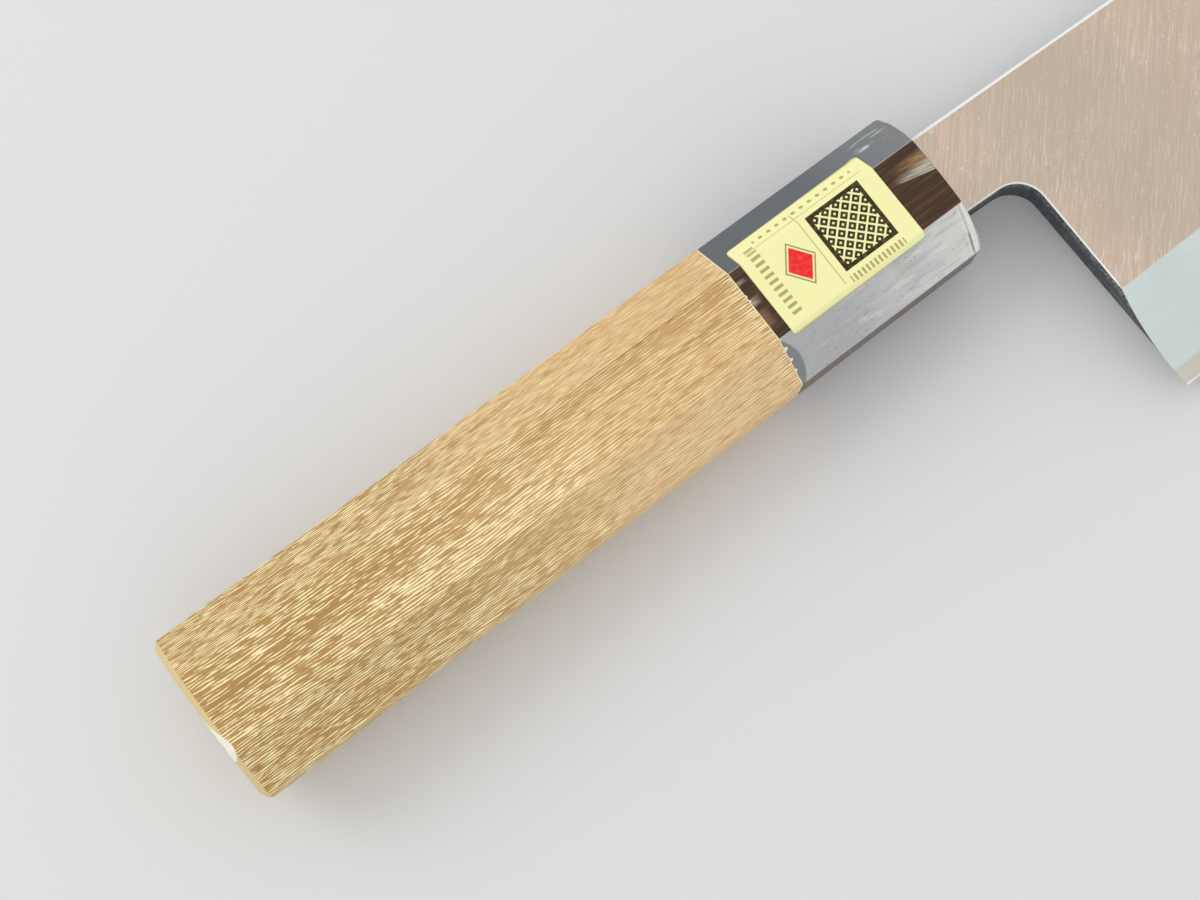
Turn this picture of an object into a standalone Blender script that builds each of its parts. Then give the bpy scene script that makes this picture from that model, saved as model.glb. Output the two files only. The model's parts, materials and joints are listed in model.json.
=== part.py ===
"""A right-handed deba knife with an octagonal wooden handle and a horn ferrule.

X runs along the handle towards the tip, with zero on the ferrule's front face. Y runs from the
cutting edge to the spine and Z from the flat back to the bevelled side, both with zero on the
handle's axis. An empty then lays the finished knife down as it rests on a table.
"""

from math import cos, radians, sin, sqrt, tan

import bmesh
import bpy
from mathutils import Matrix, Vector
from mathutils.geometry import interpolate_bezier

# Clearances
SLOT_CLEARANCE = 0.0003
TENON_CLEARANCE = 0.0002
JOINT_GAP = 0.0001
WELD_GAP = 0.00005
LABEL_GAP = 0.00005
MERGE = 0.000001

# Handle and ferrule, whose section is an octagon with equal 45 degree corners
HANDLE_LENGTH = 0.140
FERRULE_LENGTH = 0.0364
BUTT_HEIGHT = 0.0290
BUTT_THICKNESS = 0.0240
BUTT_CORNER = 0.0080
JOINT_HEIGHT = 0.0268
JOINT_THICKNESS = 0.0228
JOINT_CORNER = 0.0070
FRONT_HEIGHT = 0.0264
FRONT_THICKNESS = 0.0219
FRONT_CORNER = 0.0070
BUTT_CHAMFER = 0.0010
FRONT_ROUNDING = 0.0009
TENON_DIAMETER = 0.0172
TENON_LENGTH = 0.0280

# Neck and tang
NECK_ABOVE = 0.0076
NECK_BELOW = 0.0070
NECK_INSET = 0.0030
TANG_LENGTH = 0.095
TANG_ROOT_HEIGHT = 0.0128
TANG_ROOT_THICKNESS = 0.0064
TANG_END_HEIGHT = 0.0052
TANG_END_THICKNESS = 0.0030
TANG_END_ROOM = 0.0015

# Blade outline, whose spine falls and ridge rises over their straight lengths
SPINE_STRAIGHT = 0.112
SPINE_FALL = 0.0025
SPINE_REACH = 0.036
SPINE_TIP_REACH = 0.028
SPINE_TIP_ANGLE = radians(24)
NOTCH_X = 0.0128
NOTCH_BELOW = 0.0080
NOTCH_RADIUS = 0.0052
HEEL_X = 0.0140
HEEL_BELOW = 0.0495
EDGE_LENGTH = 0.180
EDGE_STRAIGHT = 0.092
BELLY_REACH = 0.042
TIP_BELOW = 0.0120
TIP_REACH = 0.026
TIP_ANGLE = radians(42)

# Blade thickness, bevel and easing
NECK_THICKNESS = 0.0076
RIDGE_THICKNESS = 0.0062
TIP_THICKNESS = 0.0024
RIDGE_BELOW = 0.0312
RIDGE_RISE = 0.0014
RIDGE_REACH = 0.038
RIDGE_END_BACK = 0.0085
RIDGE_END_ABOVE = 0.0085
RIDGE_TIP_REACH = 0.021
RIDGE_TIP_ANGLE = radians(49)
EASING = 0.00055
EASING_STOP = 0.011

# Hard steel layer and the hollow of the back
STEEL_LAYER = 0.0010
STEEL_START = 0.0035
STEEL_SCARF = 0.0030
HOLLOW_DEPTH = 0.0004
HOLLOW_SPINE_RIM = 0.0060
HOLLOW_EDGE_RIM = 0.0040
HOLLOW_HEEL_RIM = 0.0080
HOLLOW_TIP_RIM = 0.0170
HOLLOW_SQUARENESS = 6

# Label on the ferrule, which reaches over the creases of the upper flat
LABEL_LENGTH = 0.0262
LABEL_START = 0.0024
LABEL_ABOVE = 0.0046
LABEL_BELOW = 0.0010
LABEL_THICKNESS = 0.00015
LABEL_TURN = radians(0.5)
LABEL_CORNER = 0.0009

# Where along the belly the knife meets the table, from the straight edge to the tip
REST_STATION = 0.68

# Smoothness of the curves
OUTLINE_STEPS = 32
STRAIGHT_STEPS = 30
NOTCH_STEPS = 12
CORNER_STEPS = 3
ROUND_STEPS = 40
HOLLOW_STEPS = 40
HOLLOW_SIDE_STEPS = 6

# How much of a face's normal lies along an axis before the face counts as facing that way
FACING = 0.5

# How far cutters reach past what they cut
OVERCUT = 0.004
BLANK_MARGIN = 0.0015
BLANK_TOP = 0.006

# Derived places
BACK_Z = -NECK_THICKNESS / 2
TIP = Vector((HEEL_X + EDGE_LENGTH, -TIP_BELOW))
RIDGE_END = TIP + Vector((-RIDGE_END_BACK, RIDGE_END_ABOVE))
BELLY_X = HEEL_X + EDGE_STRAIGHT
FRONT_WALL = FERRULE_LENGTH - TENON_LENGTH - TENON_CLEARANCE

BUTT_SECTION = (BUTT_HEIGHT, BUTT_THICKNESS, BUTT_CORNER)
JOINT_SECTION = (JOINT_HEIGHT, JOINT_THICKNESS, JOINT_CORNER)
FRONT_SECTION = (FRONT_HEIGHT, FRONT_THICKNESS, FRONT_CORNER)


def clear_scene():
    for item in list(bpy.data.objects):
        bpy.data.objects.remove(item, do_unlink=True)


def new_collection(name):
    collection = bpy.data.collections.new(name)
    bpy.context.scene.collection.children.link(collection)
    return collection


def material(name, color, roughness, metallic=0.0):
    finish = bpy.data.materials.new(name)
    finish.use_nodes = True
    shader = finish.node_tree.nodes["Principled BSDF"]
    shader.inputs["Base Color"].default_value = (*color, 1.0)
    shader.inputs["Roughness"].default_value = roughness
    shader.inputs["Metallic"].default_value = metallic
    return finish


def bezier(start, start_handle, end_handle, end, steps):
    """Points of one cubic curve in the plane, both ends included."""
    points = interpolate_bezier(start, start_handle, end_handle, end, steps + 1)
    return [Vector(point[:2]) for point in points]


def fillet(before, corner, after, radius, steps):
    """Arc that rounds the corner between two straight lines."""
    back = (before - corner).normalized()
    ahead = (after - corner).normalized()
    half_angle = back.angle(ahead) / 2
    centre = corner + (back + ahead).normalized() * radius / sin(half_angle)
    first = (corner + back * radius / tan(half_angle) - centre).normalized()
    last = (corner + ahead * radius / tan(half_angle) - centre).normalized()
    return [centre + first.slerp(last, step / steps) * radius for step in range(steps + 1)]


def loft(rings, smooth=False):
    """Closed solid through rings of points that all have the same count."""
    bm = bmesh.new()
    loops = [[bm.verts.new(point) for point in ring] for ring in rings]
    count = len(loops[0])
    for near, far in zip(loops, loops[1:]):
        for index in range(count):
            after = (index + 1) % count
            side = bm.faces.new((near[index], near[after], far[after], far[index]))
            side.smooth = smooth
    bm.faces.new(reversed(loops[0]))
    bm.faces.new(loops[-1])
    bmesh.ops.recalc_face_normals(bm, faces=bm.faces)
    return bm


def plate(outline, low, high):
    """Flat outline made into a closed plate between two heights."""
    curve = bpy.data.curves.new("outline", "CURVE")
    curve.dimensions = "2D"
    curve.fill_mode = "BOTH"
    curve.extrude = (high - low) / 2
    spline = curve.splines.new("POLY")
    spline.points.add(len(outline) - 1)
    for point, place in zip(spline.points, outline):
        point.co = (place.x, place.y, 0.0, 1.0)
    spline.use_cyclic_u = True
    holder = bpy.data.objects.new("outline", curve)
    holder.location.z = (low + high) / 2
    bpy.context.scene.collection.objects.link(holder)
    depsgraph = bpy.context.evaluated_depsgraph_get()
    mesh = bpy.data.meshes.new_from_object(holder.evaluated_get(depsgraph))
    bm = bmesh.new()
    bm.from_mesh(mesh)
    bm.transform(holder.matrix_world)
    bmesh.ops.remove_doubles(bm, verts=bm.verts, dist=MERGE)
    inner = [edge for edge in bm.edges if all(abs(face.normal.z) > FACING for face in edge.link_faces)]
    bmesh.ops.dissolve_edges(bm, edges=inner)
    bmesh.ops.recalc_face_normals(bm, faces=bm.faces)
    for face in bm.faces:
        face.smooth = False
    bpy.data.objects.remove(holder, do_unlink=True)
    bpy.data.meshes.remove(mesh)
    return bm


def add_object(name, bm, collection, parent, finish=None, location=(0.0, 0.0, 0.0)):
    mesh = bpy.data.meshes.new(name)
    bm.to_mesh(mesh)
    bm.free()
    if finish:
        mesh.materials.append(finish)
    item = bpy.data.objects.new(name, mesh)
    item.parent = parent
    item.location = location
    collection.objects.link(item)
    return item


def add_cutter(name, bm, collection, parent, location=(0.0, 0.0, 0.0)):
    item = add_object(name, bm, collection, parent, location=location)
    item.hide_render = True
    item.display_type = "WIRE"
    return item


def boolean(item, operation, cutter):
    modifier = item.modifiers.new(cutter.name, "BOOLEAN")
    modifier.operation = operation
    modifier.solver = "EXACT"
    modifier.object = cutter


def octagon(section, x):
    """Ring of eight points: a rectangle with its corners cut at 45 degrees."""
    height, thickness, corner = section
    half_y = height / 2
    half_z = thickness / 2
    flat_y = half_y - corner
    flat_z = half_z - corner
    ring = ((half_y, flat_z), (flat_y, half_z), (-flat_y, half_z), (-half_y, flat_z),
            (-half_y, -flat_z), (-flat_y, -half_z), (flat_y, -half_z), (half_y, -flat_z))
    return [Vector((x, y, z)) for y, z in ring]


def rectangle(x, low_y, high_y, low_z, high_z):
    return [Vector((x, y, z)) for y, z in
            ((low_y, low_z), (high_y, low_z), (high_y, high_z), (low_y, high_z))]


def cylinder(radius, length):
    """Round bar along X that starts at zero."""
    bm = bmesh.new()
    bmesh.ops.create_cone(bm, cap_ends=True, segments=ROUND_STEPS, radius1=radius, radius2=radius,
                          depth=length)
    bm.transform(Matrix.Translation((length / 2, 0, 0)) @ Matrix.Rotation(radians(90), 4, "Y"))
    for face in bm.faces:
        face.smooth = abs(face.normal.x) < FACING
    return bm


def rim_edges(bm, x):
    """Edges of the end face that lies at x."""
    return [edge for edge in bm.edges if all(abs(vert.co.x - x) < MERGE for vert in edge.verts)]


def spine_y(x):
    return NECK_ABOVE - SPINE_FALL * x / SPINE_STRAIGHT


def flat_z(x, y):
    """Height of the blade's upper flat, one plane that thins towards the tip and the ridge."""
    taper = (NECK_THICKNESS - TIP_THICKNESS) / TIP.x
    heel_thickness = NECK_THICKNESS - taper * HEEL_X
    lean = (heel_thickness - RIDGE_THICKNESS) / (NECK_ABOVE + RIDGE_BELOW)
    return BACK_Z + NECK_THICKNESS - taper * x - lean * (NECK_ABOVE - y)


def direction(angle):
    return Vector((cos(angle), sin(angle)))


def spine_curve():
    start = Vector((SPINE_STRAIGHT, spine_y(SPINE_STRAIGHT)))
    start_handle = start + Vector((SPINE_STRAIGHT, -SPINE_FALL)).normalized() * SPINE_REACH
    end_handle = TIP - direction(-SPINE_TIP_ANGLE) * SPINE_TIP_REACH
    return bezier(start, start_handle, end_handle, TIP, OUTLINE_STEPS)


def belly_curve():
    start = Vector((BELLY_X, -HEEL_BELOW))
    start_handle = start + Vector((BELLY_REACH, 0.0))
    end_handle = TIP - direction(TIP_ANGLE) * TIP_REACH
    return bezier(start, start_handle, end_handle, TIP, OUTLINE_STEPS)


def ridge_curve():
    run = Vector((EDGE_STRAIGHT, RIDGE_RISE))
    start = Vector((HEEL_X, -RIDGE_BELOW)) + run
    start_handle = start + run.normalized() * RIDGE_REACH
    end_handle = RIDGE_END - direction(RIDGE_TIP_ANGLE) * RIDGE_TIP_REACH
    return bezier(start, start_handle, end_handle, RIDGE_END, OUTLINE_STEPS)


def extended(curve, reach):
    """The curve with its last point moved straight on past its place."""
    return curve[:-1] + [curve[-1] + (curve[-1] - curve[-2]).normalized() * reach]


def blank_outline():
    """Neck and blade from above, with a margin outside the cutting edge for the bevel to remove."""
    spine = extended(spine_curve(), BLANK_MARGIN)
    belly = []
    curve = extended(belly_curve(), OVERCUT)
    for point, ahead in zip(curve, curve[1:]):
        along = (ahead - point).normalized()
        belly.append(point + Vector((along.y, -along.x)) * BLANK_MARGIN)
    notch = Vector((NOTCH_X, -NOTCH_BELOW))
    heel = Vector((HEEL_X, -HEEL_BELOW))
    down = (heel - notch).normalized()
    below = heel + down * BLANK_MARGIN
    neck_end = Vector((-NECK_INSET, -NECK_BELOW))
    arc = fillet(heel, notch, Vector((0.0, -NECK_BELOW)), NOTCH_RADIUS, NOTCH_STEPS)
    return ([Vector((-NECK_INSET, spine_y(-NECK_INSET)))] + spine + belly[::-1]
            + [below] + arc + [Vector((0.0, -NECK_BELOW)), neck_end])


def blade_blank():
    """Neck and blade with the flat ground and its long edges eased, before the bevel."""
    bm = plate(blank_outline(), BACK_Z, BLANK_TOP)
    corner = Vector((0.0, 0.0, flat_z(0.0, 0.0)))
    along = Vector((1.0, 0.0, flat_z(1.0, 0.0))) - corner
    across = Vector((0.0, 1.0, flat_z(0.0, 1.0))) - corner
    everything = bm.verts[:] + bm.edges[:] + bm.faces[:]
    bmesh.ops.bisect_plane(bm, geom=everything, dist=MERGE, plane_co=corner,
                           plane_no=along.cross(across), clear_outer=True)
    bmesh.ops.edgeloop_fill(bm, edges=[edge for edge in bm.edges if edge.is_boundary])
    bmesh.ops.recalc_face_normals(bm, faces=bm.faces)
    eased = set()
    for edge in bm.edges:
        wall, cap = sorted(edge.link_faces, key=lambda face: abs(face.normal.z))
        centre = wall.calc_center_median()
        on_spine = wall.normal.y > FACING and centre.x < TIP.x - EASING_STOP
        on_choil = 0.0 < centre.x < HEEL_X and cap.normal.z > FACING
        if abs(cap.normal.z) > FACING and (on_spine or on_choil):
            eased.add(edge)
    bmesh.ops.bevel(bm, geom=list(eased), offset=EASING, segments=1, affect="EDGES")
    return bm


def straight_run(start, end):
    """Points from one place up to, but not with, another."""
    return [start.lerp(end, step / STRAIGHT_STEPS) for step in range(STRAIGHT_STEPS)]


def bevel_cutter():
    """Solid above the bevel, whose rulings join the cutting edge to the ridge line."""
    belly = belly_curve()
    ridge = ridge_curve()
    run_in = Vector((HEEL_X - OVERCUT, -HEEL_BELOW))
    ridge_run_in = Vector((run_in.x, -RIDGE_BELOW - RIDGE_RISE * OVERCUT / EDGE_STRAIGHT))
    edge = extended(straight_run(run_in, belly[0]) + belly, OVERCUT)
    ridge = extended(straight_run(ridge_run_in, ridge[0]) + ridge, OVERCUT)
    top = BLANK_TOP + OVERCUT
    rings = []
    for low, high in zip(edge, ridge):
        foot = Vector((low.x, low.y, BACK_Z))
        crest = Vector((high.x, high.y, flat_z(high.x, high.y)))
        ruling = (crest - foot).normalized() * OVERCUT
        outer = foot - ruling
        inner = crest + ruling
        rings.append((outer, foot, inner, Vector((inner.x, inner.y, top)),
                      Vector((outer.x, outer.y, top))))
    return loft(rings)


def hollow_cutter():
    """Lens that hollows the back inside its rim, a parabola across and drawn in round at its ends."""
    start_x = HEEL_X + HOLLOW_HEEL_RIM
    length = TIP.x - HOLLOW_TIP_RIM - start_x
    spine = [Vector((-NECK_INSET, spine_y(-NECK_INSET)))] + spine_curve()
    belly = [Vector((HEEL_X, -HEEL_BELOW))] + belly_curve()
    rings = []
    for step in range(1, HOLLOW_STEPS):
        along = -cos(radians(180) * step / HOLLOW_STEPS)
        width = sqrt(1 - abs(along) ** HOLLOW_SQUARENESS)
        x = start_x + length * (1 + along) / 2
        high = curve_y(spine, x) - HOLLOW_SPINE_RIM
        low = curve_y(belly, x) + HOLLOW_EDGE_RIM
        ring = []
        for side in range(-HOLLOW_SIDE_STEPS, HOLLOW_SIDE_STEPS + 1):
            across = side / (HOLLOW_SIDE_STEPS - 1)
            rise = HOLLOW_DEPTH * width ** 2 * (1 - across ** 2)
            ring.append(Vector((x, (low + high + (high - low) * width * across) / 2, BACK_Z + rise)))
        ring.append(Vector((x, ring[-1].y, BACK_Z - OVERCUT)))
        ring.append(Vector((x, ring[0].y, BACK_Z - OVERCUT)))
        rings.append(ring)
    return loft(rings, smooth=True)


def curve_y(curve, x):
    """Height of a curve at x, straight between its points."""
    for point, ahead in zip(curve, curve[1:]):
        if point.x <= x <= ahead.x:
            share = (x - point.x) / (ahead.x - point.x)
            return point.y + (ahead.y - point.y) * share
    return curve[-1].y


def layer_region(top):
    """Space of the hard layer up to a height, with a scarfed end inside the neck."""
    bottom = BACK_Z - OVERCUT
    start = STEEL_START
    slope = STEEL_SCARF / STEEL_LAYER
    profile = ((start - slope * OVERCUT, bottom), (start + slope * (top - BACK_Z), top),
               (TIP.x + OVERCUT, top), (TIP.x + OVERCUT, bottom))
    reach = HEEL_BELOW + OVERCUT
    return loft([[Vector((x, y, z)) for x, z in profile] for y in (-reach, reach)])


def make_blade(parts, cutters, knife):
    soft_iron = material("soft_iron", (0.62, 0.56, 0.51), 0.38, 1.0)
    hard_steel = material("hard_steel", (0.70, 0.72, 0.73), 0.28, 1.0)
    root_x = NECK_INSET / 2
    root = rectangle(root_x, -TANG_ROOT_HEIGHT / 2, TANG_ROOT_HEIGHT / 2,
                     -TANG_ROOT_THICKNESS / 2, TANG_ROOT_THICKNESS / 2)
    end = rectangle(-TANG_LENGTH, -TANG_END_HEIGHT / 2, TANG_END_HEIGHT / 2,
                    -TANG_END_THICKNESS / 2, TANG_END_THICKNESS / 2)
    tang = add_cutter("tang_bar", loft([end, root]), cutters, knife)
    bevel = add_cutter("bevel_cutter", bevel_cutter(), cutters, knife)
    hollow = add_cutter("hollow_cutter", hollow_cutter(), cutters, knife)
    iron_region = add_cutter("iron_region", layer_region(BACK_Z + STEEL_LAYER + WELD_GAP),
                             cutters, knife)
    steel_region = add_cutter("steel_region", layer_region(BACK_Z + STEEL_LAYER), cutters, knife)

    iron = add_object("blade_iron", blade_blank(), parts, knife, soft_iron)
    boolean(iron, "UNION", tang)
    boolean(iron, "DIFFERENCE", iron_region)
    boolean(iron, "DIFFERENCE", bevel)

    steel = add_object("blade_steel", blade_blank(), parts, knife, hard_steel)
    boolean(steel, "INTERSECT", steel_region)
    boolean(steel, "DIFFERENCE", bevel)
    boolean(steel, "DIFFERENCE", hollow)


def tang_slot():
    """Tapered space round the tang, with room behind its end."""
    rings = []
    length = TANG_LENGTH + NECK_INSET / 2
    for x in (-TANG_LENGTH - TANG_END_ROOM, -FRONT_WALL + OVERCUT):
        share = (x + TANG_LENGTH) / length
        height = TANG_END_HEIGHT + (TANG_ROOT_HEIGHT - TANG_END_HEIGHT) * share
        thickness = TANG_END_THICKNESS + (TANG_ROOT_THICKNESS - TANG_END_THICKNESS) * share
        half_y = height / 2 + SLOT_CLEARANCE
        half_z = thickness / 2 + SLOT_CLEARANCE
        rings.append(rectangle(x, -half_y, half_y, -half_z, half_z))
    return loft(rings)


def make_handle_body(parts, cutters, knife):
    wood = material("handle_wood", (0.52, 0.31, 0.12), 0.55)
    length = HANDLE_LENGTH - FERRULE_LENGTH - JOINT_GAP
    bm = loft([octagon(BUTT_SECTION, 0.0), octagon(JOINT_SECTION, length)])
    bmesh.ops.bevel(bm, geom=rim_edges(bm, 0.0), offset=BUTT_CHAMFER, segments=1, affect="EDGES")
    body = add_object("handle_body", bm, parts, knife, wood, (-HANDLE_LENGTH, 0.0, 0.0))
    tenon = add_cutter("tenon_bar", cylinder(TENON_DIAMETER / 2, TENON_LENGTH + OVERCUT), cutters,
                       knife, (-FERRULE_LENGTH - OVERCUT, 0.0, 0.0))
    slot = add_cutter("tang_slot", tang_slot(), cutters, knife)
    boolean(body, "UNION", tenon)
    boolean(body, "DIFFERENCE", slot)


def make_ferrule(parts, cutters, knife):
    horn = material("buffalo_horn", (0.05, 0.04, 0.035), 0.18)
    bm = loft([octagon(JOINT_SECTION, 0.0), octagon(FRONT_SECTION, FERRULE_LENGTH)])
    bmesh.ops.bevel(bm, geom=rim_edges(bm, FERRULE_LENGTH), offset=FRONT_ROUNDING,
                    segments=CORNER_STEPS, affect="EDGES")
    ferrule = add_object("ferrule", bm, parts, knife, horn, (-FERRULE_LENGTH, 0.0, 0.0))
    bore_radius = TENON_DIAMETER / 2 + TENON_CLEARANCE
    bore = add_cutter("tenon_bore", cylinder(bore_radius, TENON_LENGTH + TENON_CLEARANCE + OVERCUT),
                      cutters, knife, (-FERRULE_LENGTH - OVERCUT, 0.0, 0.0))
    low_y = -NECK_BELOW - SLOT_CLEARANCE
    high_y = spine_y(-NECK_INSET) + SLOT_CLEARANCE
    low_z = BACK_Z - SLOT_CLEARANCE
    high_z = flat_z(-NECK_INSET, high_y) + SLOT_CLEARANCE
    neck_slot = loft([rectangle(x, low_y, high_y, low_z, high_z)
                      for x in (-FRONT_WALL - OVERCUT, OVERCUT)])
    neck = add_cutter("neck_slot", neck_slot, cutters, knife)
    boolean(ferrule, "DIFFERENCE", bore)
    boolean(ferrule, "DIFFERENCE", neck)


def ferrule_crease(x):
    """Half the width of the ferrule's upper flat at x from its rear."""
    rear = JOINT_HEIGHT / 2 - JOINT_CORNER
    front = FRONT_HEIGHT / 2 - FRONT_CORNER
    return rear + (front - rear) * x / FERRULE_LENGTH


def ferrule_point(x, around):
    """Place just off the ferrule at x from its rear and so far round from the upper flat's middle.

    The way round is positive towards the spine, and turns over a crease onto the next facet.
    """
    crease = ferrule_crease(x)
    side = 1.0 if around > 0 else -1.0
    over = max(abs(around) - crease, 0.0) * sin(radians(45))
    half_thickness = (JOINT_THICKNESS + (FRONT_THICKNESS - JOINT_THICKNESS) * x / FERRULE_LENGTH) / 2
    outward = Vector((0.0, side if over > MERGE else 0.0, 1.0)).normalized()
    surface = Vector((x, side * (min(abs(around), crease) + over), half_thickness - over))
    return surface + outward * LABEL_GAP


def make_label(parts, knife):
    """Paper bent over two creases of the ferrule and stuck on a little askew."""
    paper = material("label_paper", (0.93, 0.87, 0.48), 0.6)
    ends = (LABEL_START, LABEL_START + LABEL_LENGTH)
    middle = LABEL_START + LABEL_LENGTH / 2
    turn = tan(LABEL_TURN)
    top = [ferrule_crease(0.0) + LABEL_ABOVE + turn * (x - middle) for x in ends]
    upper = [ferrule_crease(x) for x in ends]
    lower = [-crease for crease in upper]
    bottom = [-ferrule_crease(0.0) - LABEL_BELOW + turn * (x - middle) for x in ends]
    bm = bmesh.new()
    rows = [[bm.verts.new(ferrule_point(x - turn * around, around)) for x, around in zip(ends, row)]
            for row in (bottom, lower, upper, top)]
    for low, high in zip(rows, rows[1:]):
        bm.faces.new((low[0], low[1], high[1], high[0]))
    bmesh.ops.bevel(bm, geom=rows[0] + rows[-1], offset=LABEL_CORNER, segments=CORNER_STEPS,
                    affect="VERTICES")
    label = add_object("label", bm, parts, knife, paper, (-FERRULE_LENGTH, 0.0, 0.0))
    solidify = label.modifiers.new("thickness", "SOLIDIFY")
    solidify.thickness = LABEL_THICKNESS
    solidify.offset = 1.0


def rest_matrix():
    """Turn that lays the knife on the ferrule's front corner and on the belly of its edge."""
    height, thickness, corner = FRONT_SECTION
    foot = Vector((-FRONT_ROUNDING, corner - height / 2, -thickness / 2))
    belly = belly_curve()
    station = round(REST_STATION * OUTLINE_STEPS)
    touch = belly[station].to_3d()
    touch.z = BACK_Z
    along = (belly[station + 1] - belly[station - 1]).to_3d()
    up = along.cross(touch - foot).normalized()
    if up.z < 0:
        up.negate()
    forward = (Vector((1.0, 0.0, 0.0)) - up * up.x).normalized()
    return Matrix((forward, up.cross(forward), up)).to_4x4()


def stand_on_table(knife, parts):
    """Move the empty so that the centre of the knife's box is over zero and its base at zero."""
    bpy.context.view_layer.update()
    depsgraph = bpy.context.evaluated_depsgraph_get()
    places = []
    for item in parts.objects:
        if item.type == "MESH":
            solid = item.evaluated_get(depsgraph)
            places += [solid.matrix_world @ vert.co for vert in solid.data.vertices]
    low = [min(place[axis] for place in places) for axis in range(3)]
    high = [max(place[axis] for place in places) for axis in range(3)]
    knife.location = (-(low[0] + high[0]) / 2, -(low[1] + high[1]) / 2, -low[2])


def main():
    clear_scene()
    parts = new_collection("deba_knife")
    cutters = new_collection("cutters")
    knife = bpy.data.objects.new("knife", None)
    knife.matrix_world = rest_matrix()
    parts.objects.link(knife)
    make_blade(parts, cutters, knife)
    make_handle_body(parts, cutters, knife)
    make_ferrule(parts, cutters, knife)
    make_label(parts, knife)
    stand_on_table(knife, parts)


main()
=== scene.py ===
"""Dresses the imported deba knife: visible surfaces and finishes for its pieces, and a stage.

Shapes are worked out in the knife's own axes: X along the handle to the tip with zero on the
ferrule's front face, Y from the cutting edge to the spine and Z from the flat back to the bevelled
side, both with zero on the handle's axis. Patterns are in the same axes, in millimetres.
"""

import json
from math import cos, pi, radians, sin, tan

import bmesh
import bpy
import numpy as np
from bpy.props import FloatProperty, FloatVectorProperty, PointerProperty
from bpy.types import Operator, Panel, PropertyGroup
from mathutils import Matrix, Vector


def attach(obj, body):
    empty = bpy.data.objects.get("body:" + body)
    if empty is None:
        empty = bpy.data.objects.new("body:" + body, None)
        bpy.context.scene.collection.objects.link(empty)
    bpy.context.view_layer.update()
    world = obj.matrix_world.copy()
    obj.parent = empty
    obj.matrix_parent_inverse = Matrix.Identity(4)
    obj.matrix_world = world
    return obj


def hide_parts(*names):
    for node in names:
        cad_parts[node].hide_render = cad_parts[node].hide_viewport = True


bl_info = {
    "name": "Deba knife surfaces",
    "version": (1, 0, 0),
    "blender": (4, 5, 0),
    "location": "3D View > Sidebar > Knife",
    "description": "Makes the steel, wood, horn and paper of a deba knife round its fixed frame",
    "category": "Add Mesh",
}

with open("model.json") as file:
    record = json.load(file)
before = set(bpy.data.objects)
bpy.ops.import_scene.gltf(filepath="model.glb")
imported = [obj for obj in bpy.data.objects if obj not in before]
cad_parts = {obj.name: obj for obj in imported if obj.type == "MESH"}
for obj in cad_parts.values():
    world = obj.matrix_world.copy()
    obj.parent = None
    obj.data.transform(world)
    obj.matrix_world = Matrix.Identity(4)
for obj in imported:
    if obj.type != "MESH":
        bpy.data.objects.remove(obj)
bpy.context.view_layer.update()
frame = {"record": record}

MILLIMETRES = 1000.0

# Corners nearer than this are one, and a divisor is never less
MERGE = 0.000001
SHARP_ANGLE = radians(40)
BODY = "root"

# Handle and ferrule sections, as height, thickness and corner
BUTT_SECTION = (0.0290, 0.0240, 0.0080)
JOINT_SECTION = (0.0268, 0.0228, 0.0070)
FRONT_SECTION = (0.0264, 0.0219, 0.0070)
JOINT_CREASE = JOINT_SECTION[0] / 2 - JOINT_SECTION[2]
TENON_RADIUS = 0.0086
TENON_LENGTH = 0.0280
TENON_CLEARANCE = 0.0002
JOINT_GAP = 0.00003
FIBRE_LIFT = 0.00004
SLOT_CLEARANCE = 0.0003
NECK_FIT = 0.00015

# Neck and tang
NECK_ABOVE = 0.0076
NECK_BELOW = 0.0070
NECK_INSET = 0.0030
TANG_LENGTH = 0.095
TANG_ROOT = (0.0128, 0.0064)
TANG_END = (0.0052, 0.0030)
TANG_END_ROOM = 0.0015

# Blade outline
SPINE_STRAIGHT = 0.112
SPINE_FALL = 0.0025
SPINE_REACH = 0.036
SPINE_TIP_REACH = 0.028
SPINE_TIP_ANGLE = radians(24)
NOTCH = (0.0128, -0.0074)
NOTCH_RADIUS = 0.0052
HEEL_X = 0.0140
EDGE_STRAIGHT = 0.092
BELLY_REACH = 0.042
TIP_BELOW = 0.0120
TIP_REACH = 0.026
TIP_ANGLE = radians(42)

# Ridge between the bevel and the flat
RIDGE_BELOW = 0.0312
RIDGE_RISE = 0.0014
RIDGE_GRADE = RIDGE_RISE / EDGE_STRAIGHT
RIDGE_REACH = 0.038
RIDGE_END_BACK = 0.0085
RIDGE_END_ABOVE = 0.0085
RIDGE_TIP_REACH = 0.021
RIDGE_TIP_ANGLE = radians(49)

# Hard steel layer, its scarfed start in the neck and the hollow of the back
STEEL_LAYER = 0.0010
STEEL_START = 0.0035
STEEL_SCARF = 0.0030
WELD_GAP = 0.00001
HOLLOW_SPINE_RIM = 0.0060
HOLLOW_EDGE_RIM = 0.0040
HOLLOW_HEEL_RIM = 0.0080
HOLLOW_TIP_RIM = 0.0170
HOLLOW_SQUARENESS = 6

# Slots of both metals: upper flat or back, bevel or its hard strip, forge scale that is partly
# painted shade, and ground spine with easings and hone painted bright as a highlight
FLAT, BEVEL, SCALE_AND_SHADE, GROUND_AND_HIGHLIGHT = range(4)

# Small honed strip at the cutting edge, and the least slope that it may have over the bevel's
HONE_SETBACK = 0.00008
HONE_SLOPE = 0.47
HONE_LEAST = 0.05

# Cross lines of the blade: their first leg over a wall, where they meet the spine, and the slight
# outward bow of the bevel's end at the choil
WALL_LEG = 0.0010
WALL_LEG_GROWTH = 0.25
ARC_SPINE_X = 0.0140
CHOIL_SPINE_X = 0.0240
SPINE_SHIFT_FADE = 0.050
CORNER_FADE = 0.0075
CHOIL_BOW = 0.0008

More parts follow.
